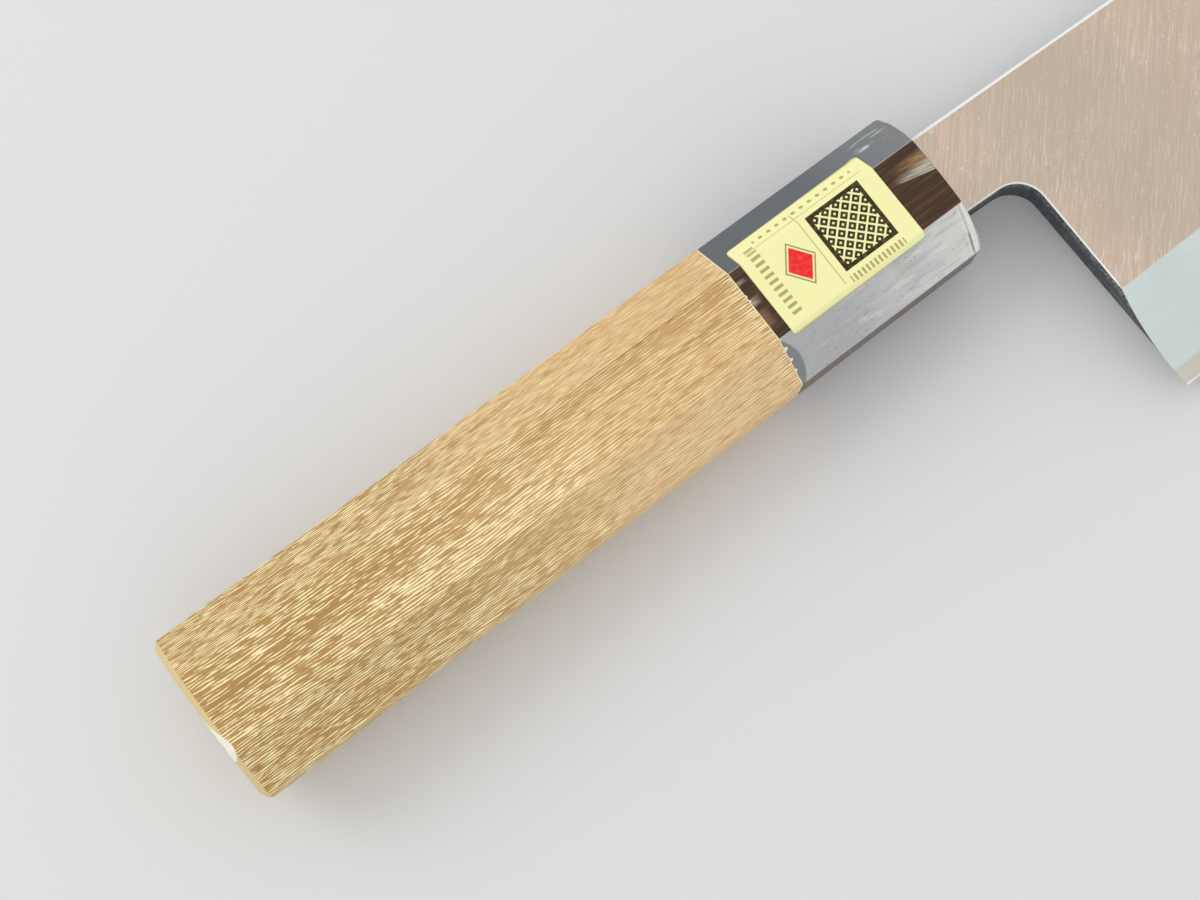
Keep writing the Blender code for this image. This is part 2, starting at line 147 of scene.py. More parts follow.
# Rows of the blade: each easing, the wall or bevel, the flat, the spine's side, and under the weld
# the strip, its hone, each rim of the back and the hollow
EASING_STEPS = 6
WALL_ROWS = 12
FLAT_ROWS = 9
SIDE_ROWS = 5
STRIP_ROWS = 5
HONE_ROWS = 3
RIM_ROWS = 4
HOLLOW_ROWS = 19

# Stations and samples of the blade's outline, with closer stations towards the ridge on the choil
OUTLINE_POINTS = 400
NECK_STATIONS = (-NECK_INSET, -0.0015, 0.0, 0.0015, STEEL_START, 0.0042, 0.0050, 0.0058,
                 STEEL_START + STEEL_SCARF, 0.0073)
NOTCH_POINTS = 25
CHOIL_POINTS = 15
CHOIL_SPACING = 1.6
EDGE_POINTS = 180
BELLY_POINTS = 130
TIP_STATION_GAP = 0.0002
REACH_LIMIT = 4.0
REACH_SAMPLES = 4001
HOLLOW_STEPS = 800

# Easing of the blade's long edges, which fades out near the tip
CORNER_POWER = 1.25
RIDGE_SOFTNESS = 0.00012
EASING_FADE = (0.004, 0.024)
EASING_LEAST = 0.12

# Direction of the grind on the upper flat
GRIND_ANGLE = radians(47)

# Label on the ferrule
LABEL_START = 0.00225
LABEL_ABOVE = 0.0046
LABEL_BELOW = 0.0010
LABEL_TURN = radians(0.5)
LABEL_CORNER = 0.0009
LABEL_GAP = 0.00002
LABEL_CURL = 0.00018
LABEL_CURL_REACH = 0.004

# Label's print: periods of the lattice and the dots, in millimetres
LATTICE = 2.08
DOT_PERIOD = 1.6

# Wood's grain: its fine period, and how it tilts past a place towards the butt, in millimetres
GRAIN_PERIOD = 0.45
TILT_START = 92.0
TILT = 0.05

# Scoop carved in the butt's upper edge: its ends across the handle, and how far it reaches along it
SCOOP_ENDS = (0.0019, -0.0083)
SCOOP_REACH = 0.00125
SCOOP_SKEW = 3.2
SCOOP_NORMAL = (-0.75, 0.0, 0.66)

# Stations and rows of the wood, with close ones for the scoop on this length of the butt end, of
# the horn, of a quarter circle and of the label
BUTT_ZONE = 0.0045
BUTT_STATIONS = 31
WOOD_STATIONS = 40
WOOD_FLAT_STEPS = 40
HORN_STATIONS = 30
HORN_FLAT_STEPS = 16
ARC_STATIONS = 9
LABEL_STATIONS = 90
LABEL_ROWS = 41

# Torn fibres of the wood over the horn: teeth between two places on the edge side's facet, and
# shorter juts round one place on the flat
FIBRE_SPACING = 0.0016
FIBRE_REACH = 0.00075
FIBRE_CHANGE = 2300
FIBRE_FACET = (0.0062, 0.0132)
FIBRE_FADES = (0.0005, 0.0025)
JUT_SPACING = 0.0009
JUT_MIDDLE = 0.0010
JUT_LEVEL = 0.0112
JUT_SHARE = 0.35

# Rounding of the ferrule's edges: at the rear, and at the front on its flats, from where it widens
# to the sides over this start and run
REAR_ROUNDING = 0.00008
FLAT_ROUNDING = 0.00035
ROUNDING_FADE = (0.0110, 0.0022)

# How far the ferrule's front rim is set back in the middle, how much more it is by a half width,
# and the start, run and share of its return past the creases
FRONT_SETBACK = (0.00024, 0.00016, 0.0064)
SETBACK_FADE = (0.0062, 0.0025, 0.75)


def length(name, description, default):
    """Length property in metres."""
    return FloatProperty(name=name, description=description, default=default, unit="LENGTH")


def colour(name, description, default):
    """Colour property with three linear components."""
    return FloatVectorProperty(name=name, description=description, subtype="COLOR", size=3,
                               min=0.0, max=1.0, default=default)


class KnifeSizes(PropertyGroup):
    """Sizes that a user would change, in metres."""

    handle_length: length("Handle length", "From the butt to the ferrule's front face", 0.140)
    ferrule_length: length("Ferrule length", "Along the handle", 0.0364)
    butt_chamfer: length("Butt chamfer", "Sealed chamfer round the butt", 0.0010)
    front_rounding: length("Front rounding", "Rounded front edge at the ferrule's sides", 0.0013)
    wood_crease: length("Wood crease", "Radius along the wood's eight creases", 0.0003)
    horn_crease: length("Horn crease", "Radius along the ferrule's eight creases", 0.0002)
    edge_length: length("Edge length", "From the heel to the tip", 0.180)
    heel_below: length("Heel depth", "From the handle's axis to the edge", 0.0495)
    neck_thickness: length("Neck thickness", "Blade thickness at the ferrule", 0.0076)
    ridge_thickness: length("Ridge thickness", "Blade thickness on the ridge above the heel",
                            0.0062)
    tip_thickness: length("Tip thickness", "Thickness that the flat would have at the tip", 0.0024)
    spine_easing: length("Spine easing", "Eased corners along the spine", 0.00055)
    choil_easing: length("Choil easing", "Eased corner along the neck, notch and choil", 0.00024)
    hollow_depth: length("Hollow depth", "Depth of the back's hollow", 0.0004)
    label_length: length("Label length", "Along the ferrule", 0.0259)
    label_thickness: length("Label thickness", "Thickness of the paper", 0.00014)


class KnifeColours(PropertyGroup):
    """Colours of the finishes, in linear light."""

    wood_ground: colour("Wood ground", "Between the flecks at the butt", (0.500, 0.298, 0.104))
    wood_front: colour("Wood front", "Between the flecks at the ferrule", (0.740, 0.490, 0.232))
    wood_pale: colour("Pale wood", "Edge side by the ferrule", (0.860, 0.605, 0.350))
    wood_brown: colour("Wood brown", "Dark lines and bands of the grain", (0.430, 0.235, 0.072))
    wood_fleck: colour("Wood fleck", "Short pale flecks along the grain", (1.000, 0.865, 0.495))
    wood_torn: colour("Torn wood", "End of the wood at the ferrule", (0.920, 0.790, 0.540))
    wood_seal: colour("Wood seal", "Sealed chamfer of the butt", (0.740, 0.580, 0.290))
    wood_scoop: colour("Wood scoop", "Fresh cut in the butt's upper edge", (0.940, 0.890, 0.740))
    horn_brown: colour("Horn brown", "Dark heart of the horn", (0.052, 0.023, 0.010))
    horn_red: colour("Horn red", "Reddish fibres in the dark horn", (0.100, 0.045, 0.020))
    # Slate, lighter to the front: a painted reflection on the spine side's upper facet; slate also
    # marks pores and painted shade
    horn_slate: colour("Horn slate", "Spine side of the horn", (0.115, 0.130, 0.142))
    horn_slate_front: colour("Horn slate front", "Spine side at the front", (0.190, 0.204, 0.210))
    # Grey at the wood to pale at the front: a painted reflection on the edge side's upper facet
    horn_grey_reflection: colour("Horn grey", "Edge side of the horn at the wood", (0.455, 0.462, 0.462))
    horn_pale_reflection: colour("Horn pale", "Edge side of the horn at the front", (0.700, 0.700, 0.675))
    horn_white: colour("Horn white", "White streaks at the ends", (0.860, 0.850, 0.800))
    horn_cream: colour("Horn cream", "Cream streaks in the dark horn", (0.520, 0.470, 0.370))
    horn_amber: colour("Horn amber", "Golden streaks in the dark horn", (0.400, 0.250, 0.110))
    iron_flat: colour("Iron flat", "Upper flat of the soft iron", (0.700, 0.550, 0.430))
    # Greyer: slow dull clouds on the flat, and its darker painted reflection
    iron_dull_and_reflection: colour("Iron dull", "Greyer part of the upper flat", (0.560, 0.480, 0.390))
    iron_scratch: colour("Iron scratch", "Short scratches and specks", (0.930, 0.860, 0.780))
    # Pale and cool: the bevel's iron, partly a painted reflection
    iron_bevel_and_reflection: colour("Iron bevel", "Bevel of the soft iron", (0.710, 0.785, 0.775))
    # Near white: ground steel painted bright as a highlight on the spine, the eased corners and the
    # hone
    iron_ground_and_highlight: colour("Iron spine", "Ground spine and easings", (0.950, 0.960, 0.950))
    # Blue-black: forge scale on the walls, partly painted shade and dark reflection
    iron_scale_and_shade: colour("Iron scale", "Forge scale on the neck and choil", (0.022, 0.028, 0.036))
    iron_scale_light: colour("Light scale", "Where the scale is worn", (0.085, 0.102, 0.112))
    iron_rust: colour("Rough scale", "Rough band under the flat", (0.260, 0.275, 0.225))
    iron_streak: colour("Scale streak", "Streak that catches light", (0.115, 0.130, 0.142))
    steel_edge: colour("Steel edge", "Hard steel above the edge", (0.680, 0.660, 0.590))
    steel_back: colour("Steel back", "Polished back", (0.620, 0.630, 0.635))
    paper: colour("Paper", "Label paper", (0.960, 0.940, 0.480))
    paper_shade: colour("Paper shade", "Mottle of the paper", (0.940, 0.900, 0.380))
    ink_brown: colour("Brown ink", "Panel of the label", (0.035, 0.025, 0.006))
    ink_red: colour("Red ink", "Accent of the label", (0.900, 0.020, 0.030))
    ink_olive: colour("Olive ink", "Small marks of the label", (0.300, 0.260, 0.060))
    floor: colour("Floor", "Plain pale floor", (0.760, 0.765, 0.770))


def knife_axes(sizes):
    """The knife's axes as columns, and its origin, from the record's butt and back mounts."""
    mounts = {mount["name"]: mount for mount in frame["record"]["mounts"]}
    forward = -unit(np.array(mounts["butt_face"]["axis"]))
    side = unit(np.cross(-np.array(mounts["back_rim"]["axis"]), forward))
    axes = np.column_stack((forward, side, np.cross(forward, side)))
    return axes, np.array(mounts["butt_face"]["pos_m"]) + forward * sizes.handle_length


def smooth(share):
    """Smooth step from nought to one, three squares less two cubes, held level outside them."""
    held = np.clip(share, 0.0, 1.0)
    return held * held * (3 - 2 * held)


def cubic(start, near, far, end, shares):
    """Points of a cubic curve: each control point weighed by its share of (1 - t + t) cubed."""
    t = np.asarray(shares)[:, None]
    left = 1 - t
    return left ** 3 * start + 3 * left ** 2 * t * near + 3 * left * t ** 2 * far + t ** 3 * end


def heading(angle):
    """Directions of length one at angles from the first axis: their cosine and sine."""
    return np.stack((np.cos(angle), np.sin(angle)), axis=-1)


def unit(vectors):
    """Vectors divided by their lengths."""
    return vectors / np.linalg.norm(vectors, axis=-1, keepdims=True)


def corner_profile(steps):
    """Inset and drop, as shares of an eased corner, along a superellipse between its two faces."""
    turn = np.linspace(0.0, pi / 2, steps + 1)
    power = 2 / CORNER_POWER
    return 1 - np.sin(turn) ** power, 1 - np.cos(turn) ** power


def corner_inset(rise, easing):
    """Inset of an eased corner at a height over its foot, from the same superellipse."""
    share = 1 - np.clip(rise / np.maximum(easing, MERGE), 0.0, 1.0)
    return easing * (1 - (1 - share ** CORNER_POWER) ** (1 / CORNER_POWER))


def spread(low, high, count, end=True):
    """Equal steps from one column to another, as stations by rows."""
    return low + (high - low) * np.linspace(0.0, 1.0, count, endpoint=end)


def join(strips):
    """Strips of plan distances and heights side by side, and the row at which each one ends."""
    strips = [np.broadcast_arrays(reach, rise) for reach, rise in strips]
    reach, rise = (np.concatenate(part, axis=1) for part in zip(*strips))
    return reach, rise, np.cumsum([part.shape[1] for part, _ in strips])


def make_piece(name, rings, finishes, faces_slot, sizes, ring_closed=False):
    """Mesh over a grid of stations by rows in the knife's axes, each station a closed ring.

    Face (i, j) joins rows j and j + 1 of stations i and i + 1. Corners that meet are merged, which
    closes ends that shrink to a line or a point. faces_slot gives each face's material.
    """
    axes, origin = knife_axes(sizes)
    stations, rows = rings.shape[:2]
    places = rings.reshape(-1, 3) @ axes.T + origin
    near = np.arange(stations if ring_closed else stations - 1)[:, None]
    row = np.arange(rows)[None, :]
    far = (near + 1) % stations
    after = (row + 1) % rows
    quads = np.stack((near * rows + row, near * rows + after, far * rows + after,
                      far * rows + row), axis=-1).reshape(-1, 4)
    mesh = bpy.data.meshes.new(name)
    mesh.from_pydata(places, [], quads)
    mesh.polygons.foreach_set("material_index", np.broadcast_to(
        faces_slot, (near.shape[0], rows)).astype(np.int32).ravel())
    for finish in finishes:
        mesh.materials.append(finish)
    close_mesh(mesh)
    piece = add_object(bpy.context.scene, name, mesh)
    normals = piece.modifiers.new("weighted_normals", "WEIGHTED_NORMAL")
    normals.keep_sharp = True
    return piece


def add_object(scene, name, data, place=(0.0, 0.0, 0.0), turn=(0.0, 0.0, 0.0)):
    """Object of a mesh, lamp or camera, placed and turned in the scene."""
    holder = bpy.data.objects.new(name, data)
    holder.location = place
    holder.rotation_euler = turn
    scene.collection.objects.link(holder)
    return holder


def close_mesh(mesh):
    """Merge corners that meet, drop faces without area, and turn the faces outwards."""
    bm = bmesh.new()
    bm.from_mesh(mesh)
    bmesh.ops.remove_doubles(bm, verts=bm.verts, dist=MERGE)
    bmesh.ops.dissolve_degenerate(bm, edges=bm.edges, dist=MERGE)
    bmesh.ops.recalc_face_normals(bm, faces=bm.faces)
    bm.to_mesh(mesh)
    bm.free()
    mesh.shade_smooth()
    mesh.set_sharp_from_angle(angle=SHARP_ANGLE)


def octagon_rings(sections, inset, crease, flat_steps, arc_steps=4):
    """Octagon sections of 45 degree corners with rounded creases, as stations by rows of (y, z).

    Corner k lies between the facets that face 45 k and 45 (k + 1) degrees round from Y. Its arc is
    centred one radius inside both, and the flats between arcs are cut into equal steps.
    """
    height, thickness, corner = sections
    half_y = height / 2 - inset
    half_z = thickness / 2 - inset
    corner = corner - inset * (2 - 2 ** 0.5)
    flat_y = half_y - corner
    flat_z = half_z - corner
    corners = np.stack([np.stack(pair, axis=-1) for pair in (
        (half_y, flat_z), (flat_y, half_z), (-flat_y, half_z), (-half_y, flat_z),
        (-half_y, -flat_z), (-flat_y, -half_z), (flat_y, -half_z), (half_y, -flat_z))], axis=1)
    eighth = pi / 4
    middle = eighth * (np.arange(8) + 0.5)
    centres = corners - heading(middle) / cos(eighth / 2) * crease
    turn = eighth * (np.arange(8)[:, None] + np.linspace(0, 1, arc_steps + 1))
    arcs = centres[:, :, None] + crease * heading(turn)
    start = arcs[:, :, -1:]
    run = np.roll(arcs[:, :, :1], -1, axis=1) - start
    shares = np.linspace(0, 1, flat_steps + 1)[1:-1, None]
    return np.concatenate((arcs, start + run * shares), axis=2).reshape(len(height), -1, 2)


def sections_between(first, last, shares):
    """Height, thickness and corner at shares of the way from one section to another."""
    return [low + (high - low) * shares for low, high in zip(first, last)]


def round_ring(outer, radius):
    """Circle whose rows lie at the same angles as those of another ring."""
    return unit(outer) * radius


def square_ring(outer, half_y, half_z, centre):
    """Rectangle whose rows lie at the same angles as those of another ring."""
    reach = np.minimum(half_y / np.maximum(np.abs(outer[:, 0]), MERGE),
                       half_z / np.maximum(np.abs(outer[:, 1]), MERGE))
    return outer * reach[:, None] + centre


def with_x(x, ring):
    """Ring of (y, z) rows moved to one place along the knife."""
    return np.column_stack((np.broadcast_to(x, len(ring)), ring))


def tang_section(x):
    """Half height and half thickness of the tapered tang at x."""
    share = (x + TANG_LENGTH) / (TANG_LENGTH + NECK_INSET / 2)
    return [(end + (root - end) * share) / 2 for root, end in zip(TANG_ROOT, TANG_END)]


class BladeForm:
    """Outline, thickness and hollow of the blade as functions of place in the knife's axes."""

    def __init__(self, sizes):
        self.sizes = sizes
        self.back = -sizes.neck_thickness / 2
        self.heel = np.array((HEEL_X, -sizes.heel_below))
        self.tip = np.array((HEEL_X + sizes.edge_length, -TIP_BELOW))
        shares = np.linspace(0.0, 1.0, OUTLINE_POINTS)
        start = np.array((SPINE_STRAIGHT, NECK_ABOVE - SPINE_FALL))
        along = unit(np.array((SPINE_STRAIGHT, -SPINE_FALL)))
        spine = cubic(start, start + along * SPINE_REACH,
                      self.tip - heading(-SPINE_TIP_ANGLE) * SPINE_TIP_REACH, self.tip, shares)
        neck_end = (-NECK_INSET, NECK_ABOVE + SPINE_FALL * NECK_INSET / SPINE_STRAIGHT)
        self.spine_line = np.vstack((neck_end, spine))
        self.edge_line = np.vstack((self.heel, self.belly(shares)))

    def spine_y(self, x):
        """Height of the spine's outline at x, on straight lines between its points."""
        return np.interp(x, *self.spine_line.T)

    def belly(self, shares):
        """Cubic curve from the end of the straight edge up to the tip."""
        start = np.array((HEEL_X + EDGE_STRAIGHT, -self.sizes.heel_below))
        return cubic(start, start + (BELLY_REACH, 0.0),
                     self.tip - heading(TIP_ANGLE) * TIP_REACH, self.tip, shares)

    def ridge(self, shares):
        """Cubic curve from the end of the straight ridge to its own end above the tip."""
        run = np.array((EDGE_STRAIGHT, RIDGE_RISE))
        start = np.array((HEEL_X, -RIDGE_BELOW)) + run
        end = self.tip + (-RIDGE_END_BACK, RIDGE_END_ABOVE)
        return cubic(start, start + unit(run) * RIDGE_REACH,
                     end - heading(RIDGE_TIP_ANGLE) * RIDGE_TIP_REACH, end, shares)

    def flat_z(self, place):
        """Height of the upper flat, one plane that thins towards the tip and the ridge."""
        sizes = self.sizes
        taper = (sizes.neck_thickness - sizes.tip_thickness) / self.tip[0]
        heel_thickness = sizes.neck_thickness - taper * HEEL_X
        lean = (heel_thickness - sizes.ridge_thickness) / (NECK_ABOVE + RIDGE_BELOW)
        return (self.back + sizes.neck_thickness - taper * place[..., 0]
                - lean * (NECK_ABOVE - place[..., 1]))

    def hollow(self, place):
        """How much the back is hollowed, and how deep inside the hollow's outline a place is.

        A parabola across, whose width shrinks to both ends as a sixth-power superellipse.
        """
        x = place[..., 0]
        start = HEEL_X + HOLLOW_HEEL_RIM
        length = self.tip[0] - HOLLOW_TIP_RIM - start
        along = np.clip(2 * (x - start) / length - 1, -1.0, 1.0)
        width = np.sqrt(1 - np.abs(along) ** HOLLOW_SQUARENESS)
        high = self.spine_y(x) - HOLLOW_SPINE_RIM
        low = np.interp(x, *self.edge_line.T) + HOLLOW_EDGE_RIM
        half = np.maximum((high - low) / 2 * width, MERGE)
        across = (place[..., 1] - (high + low) / 2) / half
        inside = np.where(width > 0.0, 1 - across ** 2, -1.0)
        return self.sizes.hollow_depth * width ** 2 * np.maximum(inside, 0.0), inside

    def weld_rise(self, x):
        """Height of the hard layer's top over the back, with a scarf where it starts."""
        return STEEL_LAYER * np.clip((x - STEEL_START) / STEEL_SCARF, 0.0, 1.0)

    def ridge_y(self, x):
        """Height of the ridge where it is straight."""
        return RIDGE_GRADE * (x - HEEL_X) - RIDGE_BELOW

    def wall_feet(self):
        """Lower outline of the neck, the notch's arc and the choil down to the ridge.

        The arc touches both lines. Each place comes with the direction that leads into the metal.
        """
        notch = np.array(NOTCH)
        back = unit(np.array((0.0, -NECK_BELOW)) - notch)
        down = unit(self.heel - notch)
        half_angle = np.arccos(back @ down) / 2
        centre = notch + unit(back + down) * NOTCH_RADIUS / sin(half_angle)
        tangent = NOTCH_RADIUS / tan(half_angle)
        first = np.arctan2(*(notch + back * tangent - centre)[::-1])
        last = np.arctan2(*(notch + down * tangent - centre)[::-1])
        inward = heading(np.linspace(first, last, NOTCH_POINTS))
        arc = centre + NOTCH_RADIUS * inward
        neck_x = np.array(NECK_STATIONS)
        slope = (NOTCH[1] + NECK_BELOW) / NOTCH[0]
        neck = np.stack((neck_x, -NECK_BELOW + slope * np.maximum(neck_x, 0.0)), axis=-1)
        run = self.heel - arc[-1]
        share = (self.ridge_y(arc[-1, 0]) - arc[-1, 1]) / (run[1] - RIDGE_GRADE * run[0])
        near_ridge = np.linspace(1, 0, CHOIL_POINTS + 1)[1:, None] ** CHOIL_SPACING
        choil = arc[-1] + run * share * (1 - near_ridge)
        feet = np.vstack((neck, arc, choil))
        inward = np.vstack((np.broadcast_to((0.0, 1.0), neck.shape), inward,
                            np.broadcast_to(inward[-1], choil.shape)))
        return feet, inward, len(neck), len(neck) + len(arc)

    def rulings(self, belly_shares):
        """Lines across the blade in plan, each from its foot over a knee to the spine.

        Walls have their foot on the neck, notch or choil, and lead straight into the metal for a
        short leg, which shrinks to nothing at the ridge. Past the heel the foot is on the cutting
        edge and the knee on the ridge.
        """
        walls, inward, arc, choil = self.wall_feet()
        steps = np.linalg.norm(np.diff(walls, axis=0), axis=1)
        along = np.concatenate(((0.0,), np.cumsum(steps)))
        wall_x = np.interp(along, along[[0, arc, choil - 1, -1]],
                           (walls[0, 0], walls[arc, 0], ARC_SPINE_X, CHOIL_SPINE_X))
        wall_x[:arc] = walls[:arc, 0]
        corner = walls[-1]

        edge_x = np.linspace(HEEL_X, HEEL_X + EDGE_STRAIGHT, EDGE_POINTS, endpoint=False)
        straight = np.stack((edge_x, np.full(len(edge_x), self.heel[1])), axis=-1)
        near = 1 - smooth((edge_x - HEEL_X) / CORNER_FADE)
        knee_x = edge_x + (corner[0] - HEEL_X) * near
        knees = np.stack((knee_x, self.ridge_y(knee_x)), axis=-1)
        shift = (CHOIL_SPINE_X - corner[0]) * (1 - smooth((edge_x - HEEL_X) / SPINE_SHIFT_FADE))
        spine_x = np.concatenate((wall_x, knee_x + shift))

        belly = self.belly(belly_shares)
        ridge = self.ridge(belly_shares)
        foot = np.vstack((walls, straight, belly))
        leg = np.clip(WALL_LEG_GROWTH * np.linalg.norm(walls - corner, axis=1), MERGE, WALL_LEG)
        knee = np.vstack((walls + inward * leg[:, None], knees, ridge))
        spine = np.vstack((np.stack((spine_x, self.spine_y(spine_x)), axis=-1),
                           self.reach_spine(belly, ridge)))
        return Rulings(self, foot, knee, spine, len(walls), len(spine_x))

    def reach_spine(self, foot, ridge):
        """Where each line from foot to ridge, or on past it, meets the spine."""
        reach = np.linspace(0.0, REACH_LIMIT, REACH_SAMPLES)
        run = ridge - foot
        x = foot[:, 0, None] + run[:, 0, None] * reach
        y = foot[:, 1, None] + run[:, 1, None] * reach
        below = self.spine_y(x) - y
        last = np.argmax(below[:, 1:] <= 0.0, axis=1)
        index = np.arange(len(foot))
        drop = below[index, last] - below[index, last + 1]
        past = below[index, last] / np.maximum(drop, MERGE ** 2)
        met = reach[last] + reach[1] * past
        end = foot + run * met[:, None]
        end[np.linalg.norm(foot - self.tip, axis=1) < MERGE] = self.tip
        return end


class Rulings:
    """The blade's cross lines, and the places on its surfaces at plan distances along them.

    Each measure of the lines is a column, with a row for every station.
    """

    def __init__(self, form, foot, knee, spine, walls, bent):
        self.form = form
        self.foot = foot
        index = np.arange(len(foot))[:, None]
        self.bend = np.linalg.norm(knee - foot, axis=1, keepdims=True)
        self.first = (knee - foot) / self.bend
        leg = spine - knee
        turned = leg / np.maximum(np.linalg.norm(leg, axis=1, keepdims=True), MERGE)
        self.second = np.where(index < bent, turned, self.first)
        past_bend = (leg * self.second).sum(axis=1, keepdims=True)
        self.width = np.maximum(self.bend + past_bend, 0.0)
        self.wall = index < walls
        self.ridge = np.where(self.wall, 0.0, self.bend)
        self.rise = form.flat_z(knee)[:, None] - form.back
        self.slope = self.rise / np.maximum(self.ridge, MERGE)
        self.bow = np.where(index == walls, (-CHOIL_BOW, 0.0), 0.0)
        fade = smooth((form.tip[0] - spine[:, :1] - EASING_FADE[0]) / EASING_FADE[1])
        easing = form.sizes.spine_easing * np.maximum(fade, EASING_LEAST)
        self.easing = np.minimum(easing, self.width / 3)
        self.weld = form.weld_rise(np.where(self.wall, spine[:, :1], form.tip[0]))

    def plan(self, reach):
        """Places in plan, out along the first leg as far as the bend and then the second."""
        near = np.minimum(reach, self.bend)
        return (self.foot[:, None] + self.first[:, None] * near[..., None]
                + self.second[:, None] * (reach - near)[..., None])

    def bevel(self, reach):
        """Height of the bevel, which rises evenly from the edge to the ridge."""
        return self.rise * reach / np.maximum(self.ridge, MERGE)

    def top(self, reach):
        """Height of the upper surface: the lowest of the flat, the bevel and the honed strip."""
        flat = self.form.flat_z(self.plan(reach)) - self.form.back
        bevel = np.where(self.wall, np.inf, self.bevel(reach))
        hone = np.where(self.wall, np.inf, (reach - HONE_SETBACK) * HONE_SLOPE)
        return np.maximum(np.minimum(np.minimum(flat, bevel), hone), 0.0)

    def weld_reach(self, rise):
        """Plan distance at which the bevel reaches a height over the back."""
        return np.where(self.wall, 0.0, np.minimum(self.ridge * rise / self.rise, self.width))

    def points(self, reach, rise):
        """Places in the knife's axes from plan distances and heights over the back.

        The bevel's end at the choil bows outwards along a parabola, less towards the back.
        """
        share = np.clip(reach / self.bend, 0.0, 1.0)
        high = np.clip(rise / np.maximum(self.bevel(reach), MERGE), 0.0, 1.0)
        plan = self.plan(reach) + self.bow[:, None] * (4 * share * (1 - share) * high)[..., None]
        return np.concatenate((plan, (self.form.back + rise)[..., None]), axis=-1)


def iron_rings(lines, sizes):
    """Soft iron from the weld up: wall or bevel, ridge or eased corner, flat, spine and easings.

    The eased corners are superellipses. The ridge is softened by a parabola: the square of the
    distance inside its soft strip, times the bevel's slope, over four strip widths.
    """
    wall, width, easing = lines.wall, lines.width, lines.easing
    weld = lines.weld + np.where(lines.weld > 0.0, WELD_GAP, 0.0)
    low = lines.weld_reach(weld)
    inset, drop = corner_profile(EASING_STEPS)
    choil = np.minimum(sizes.choil_easing, width / 3)
    ridge = np.minimum(lines.ridge, width - easing)
    soft = np.minimum(RIDGE_SOFTNESS, np.maximum(ridge - low, 0.0) / 3)

    wall_rise = spread(weld, lines.top(np.zeros_like(low)) - choil, WALL_ROWS)
    bevel = spread(np.minimum(low, ridge), ridge - soft, WALL_ROWS)
    bevel_rise = np.maximum(lines.top(bevel), weld)
    corner = choil * inset[::-1]
    corner_rise = lines.top(corner) - choil * drop[::-1]
    over = spread(ridge - soft, ridge + soft, len(inset))
    off = np.maximum(soft - np.abs(over - ridge), 0.0)
    over_rise = lines.top(over) - lines.slope * off ** 2 / np.maximum(4 * soft, MERGE)

    flat_end = width - easing
    flat_start = np.minimum(np.where(wall, choil, ridge + soft), flat_end)
    flat = spread(flat_start, flat_end, FLAT_ROWS)
    spine = width - easing * inset
    foot = np.maximum(easing, weld)
    side = spread(np.maximum(lines.top(width) - easing, foot), foot, SIDE_ROWS)
    under = np.maximum(easing * drop[::-1], weld)

    reach, rise, ends = join((
        (np.where(wall, 0.0, bevel), np.where(wall, wall_rise, bevel_rise)),
        (np.where(wall, corner, over), np.where(wall, corner_rise, over_rise)),
        (flat, lines.top(flat)), (spine, lines.top(spine) - easing * drop), (width, side),
        (width - corner_inset(under, easing), under)))
    slots = np.full((len(low) - 1, ends[-1]), FLAT)
    # The walls take the scale, which is partly painted shade
    slots[:, :ends[0]] = np.where(wall[:-1], SCALE_AND_SHADE, BEVEL)
    # The eased tops of the walls and the spine are painted bright as a highlight
    slots[:, ends[0]:ends[1] - 1] = np.where(wall[:-1], GROUND_AND_HIGHLIGHT, FLAT)
    slots[:, ends[2]:-1] = GROUND_AND_HIGHLIGHT
    return lines.points(reach, np.maximum(rise, weld)), slots


def add_tang(rings):
    """Rings of the tang behind the neck's shoulder: the neck's ring scaled to its section."""
    neck = rings[0]
    low = neck.min(axis=0)
    high = neck.max(axis=0)
    share = (neck - (low + high) / 2) / np.maximum(high - low, MERGE)
    made = []
    for x, scale in ((-TANG_LENGTH, 0.0), (-TANG_LENGTH, 2.0), (-NECK_INSET, 2.0)):
        half_y, half_z = tang_section(x)
        made.append(with_x(x, np.column_stack((share[:, 1] * half_y * scale,
                                               share[:, 2] * half_z * scale))))
    return np.concatenate((np.stack(made), rings))


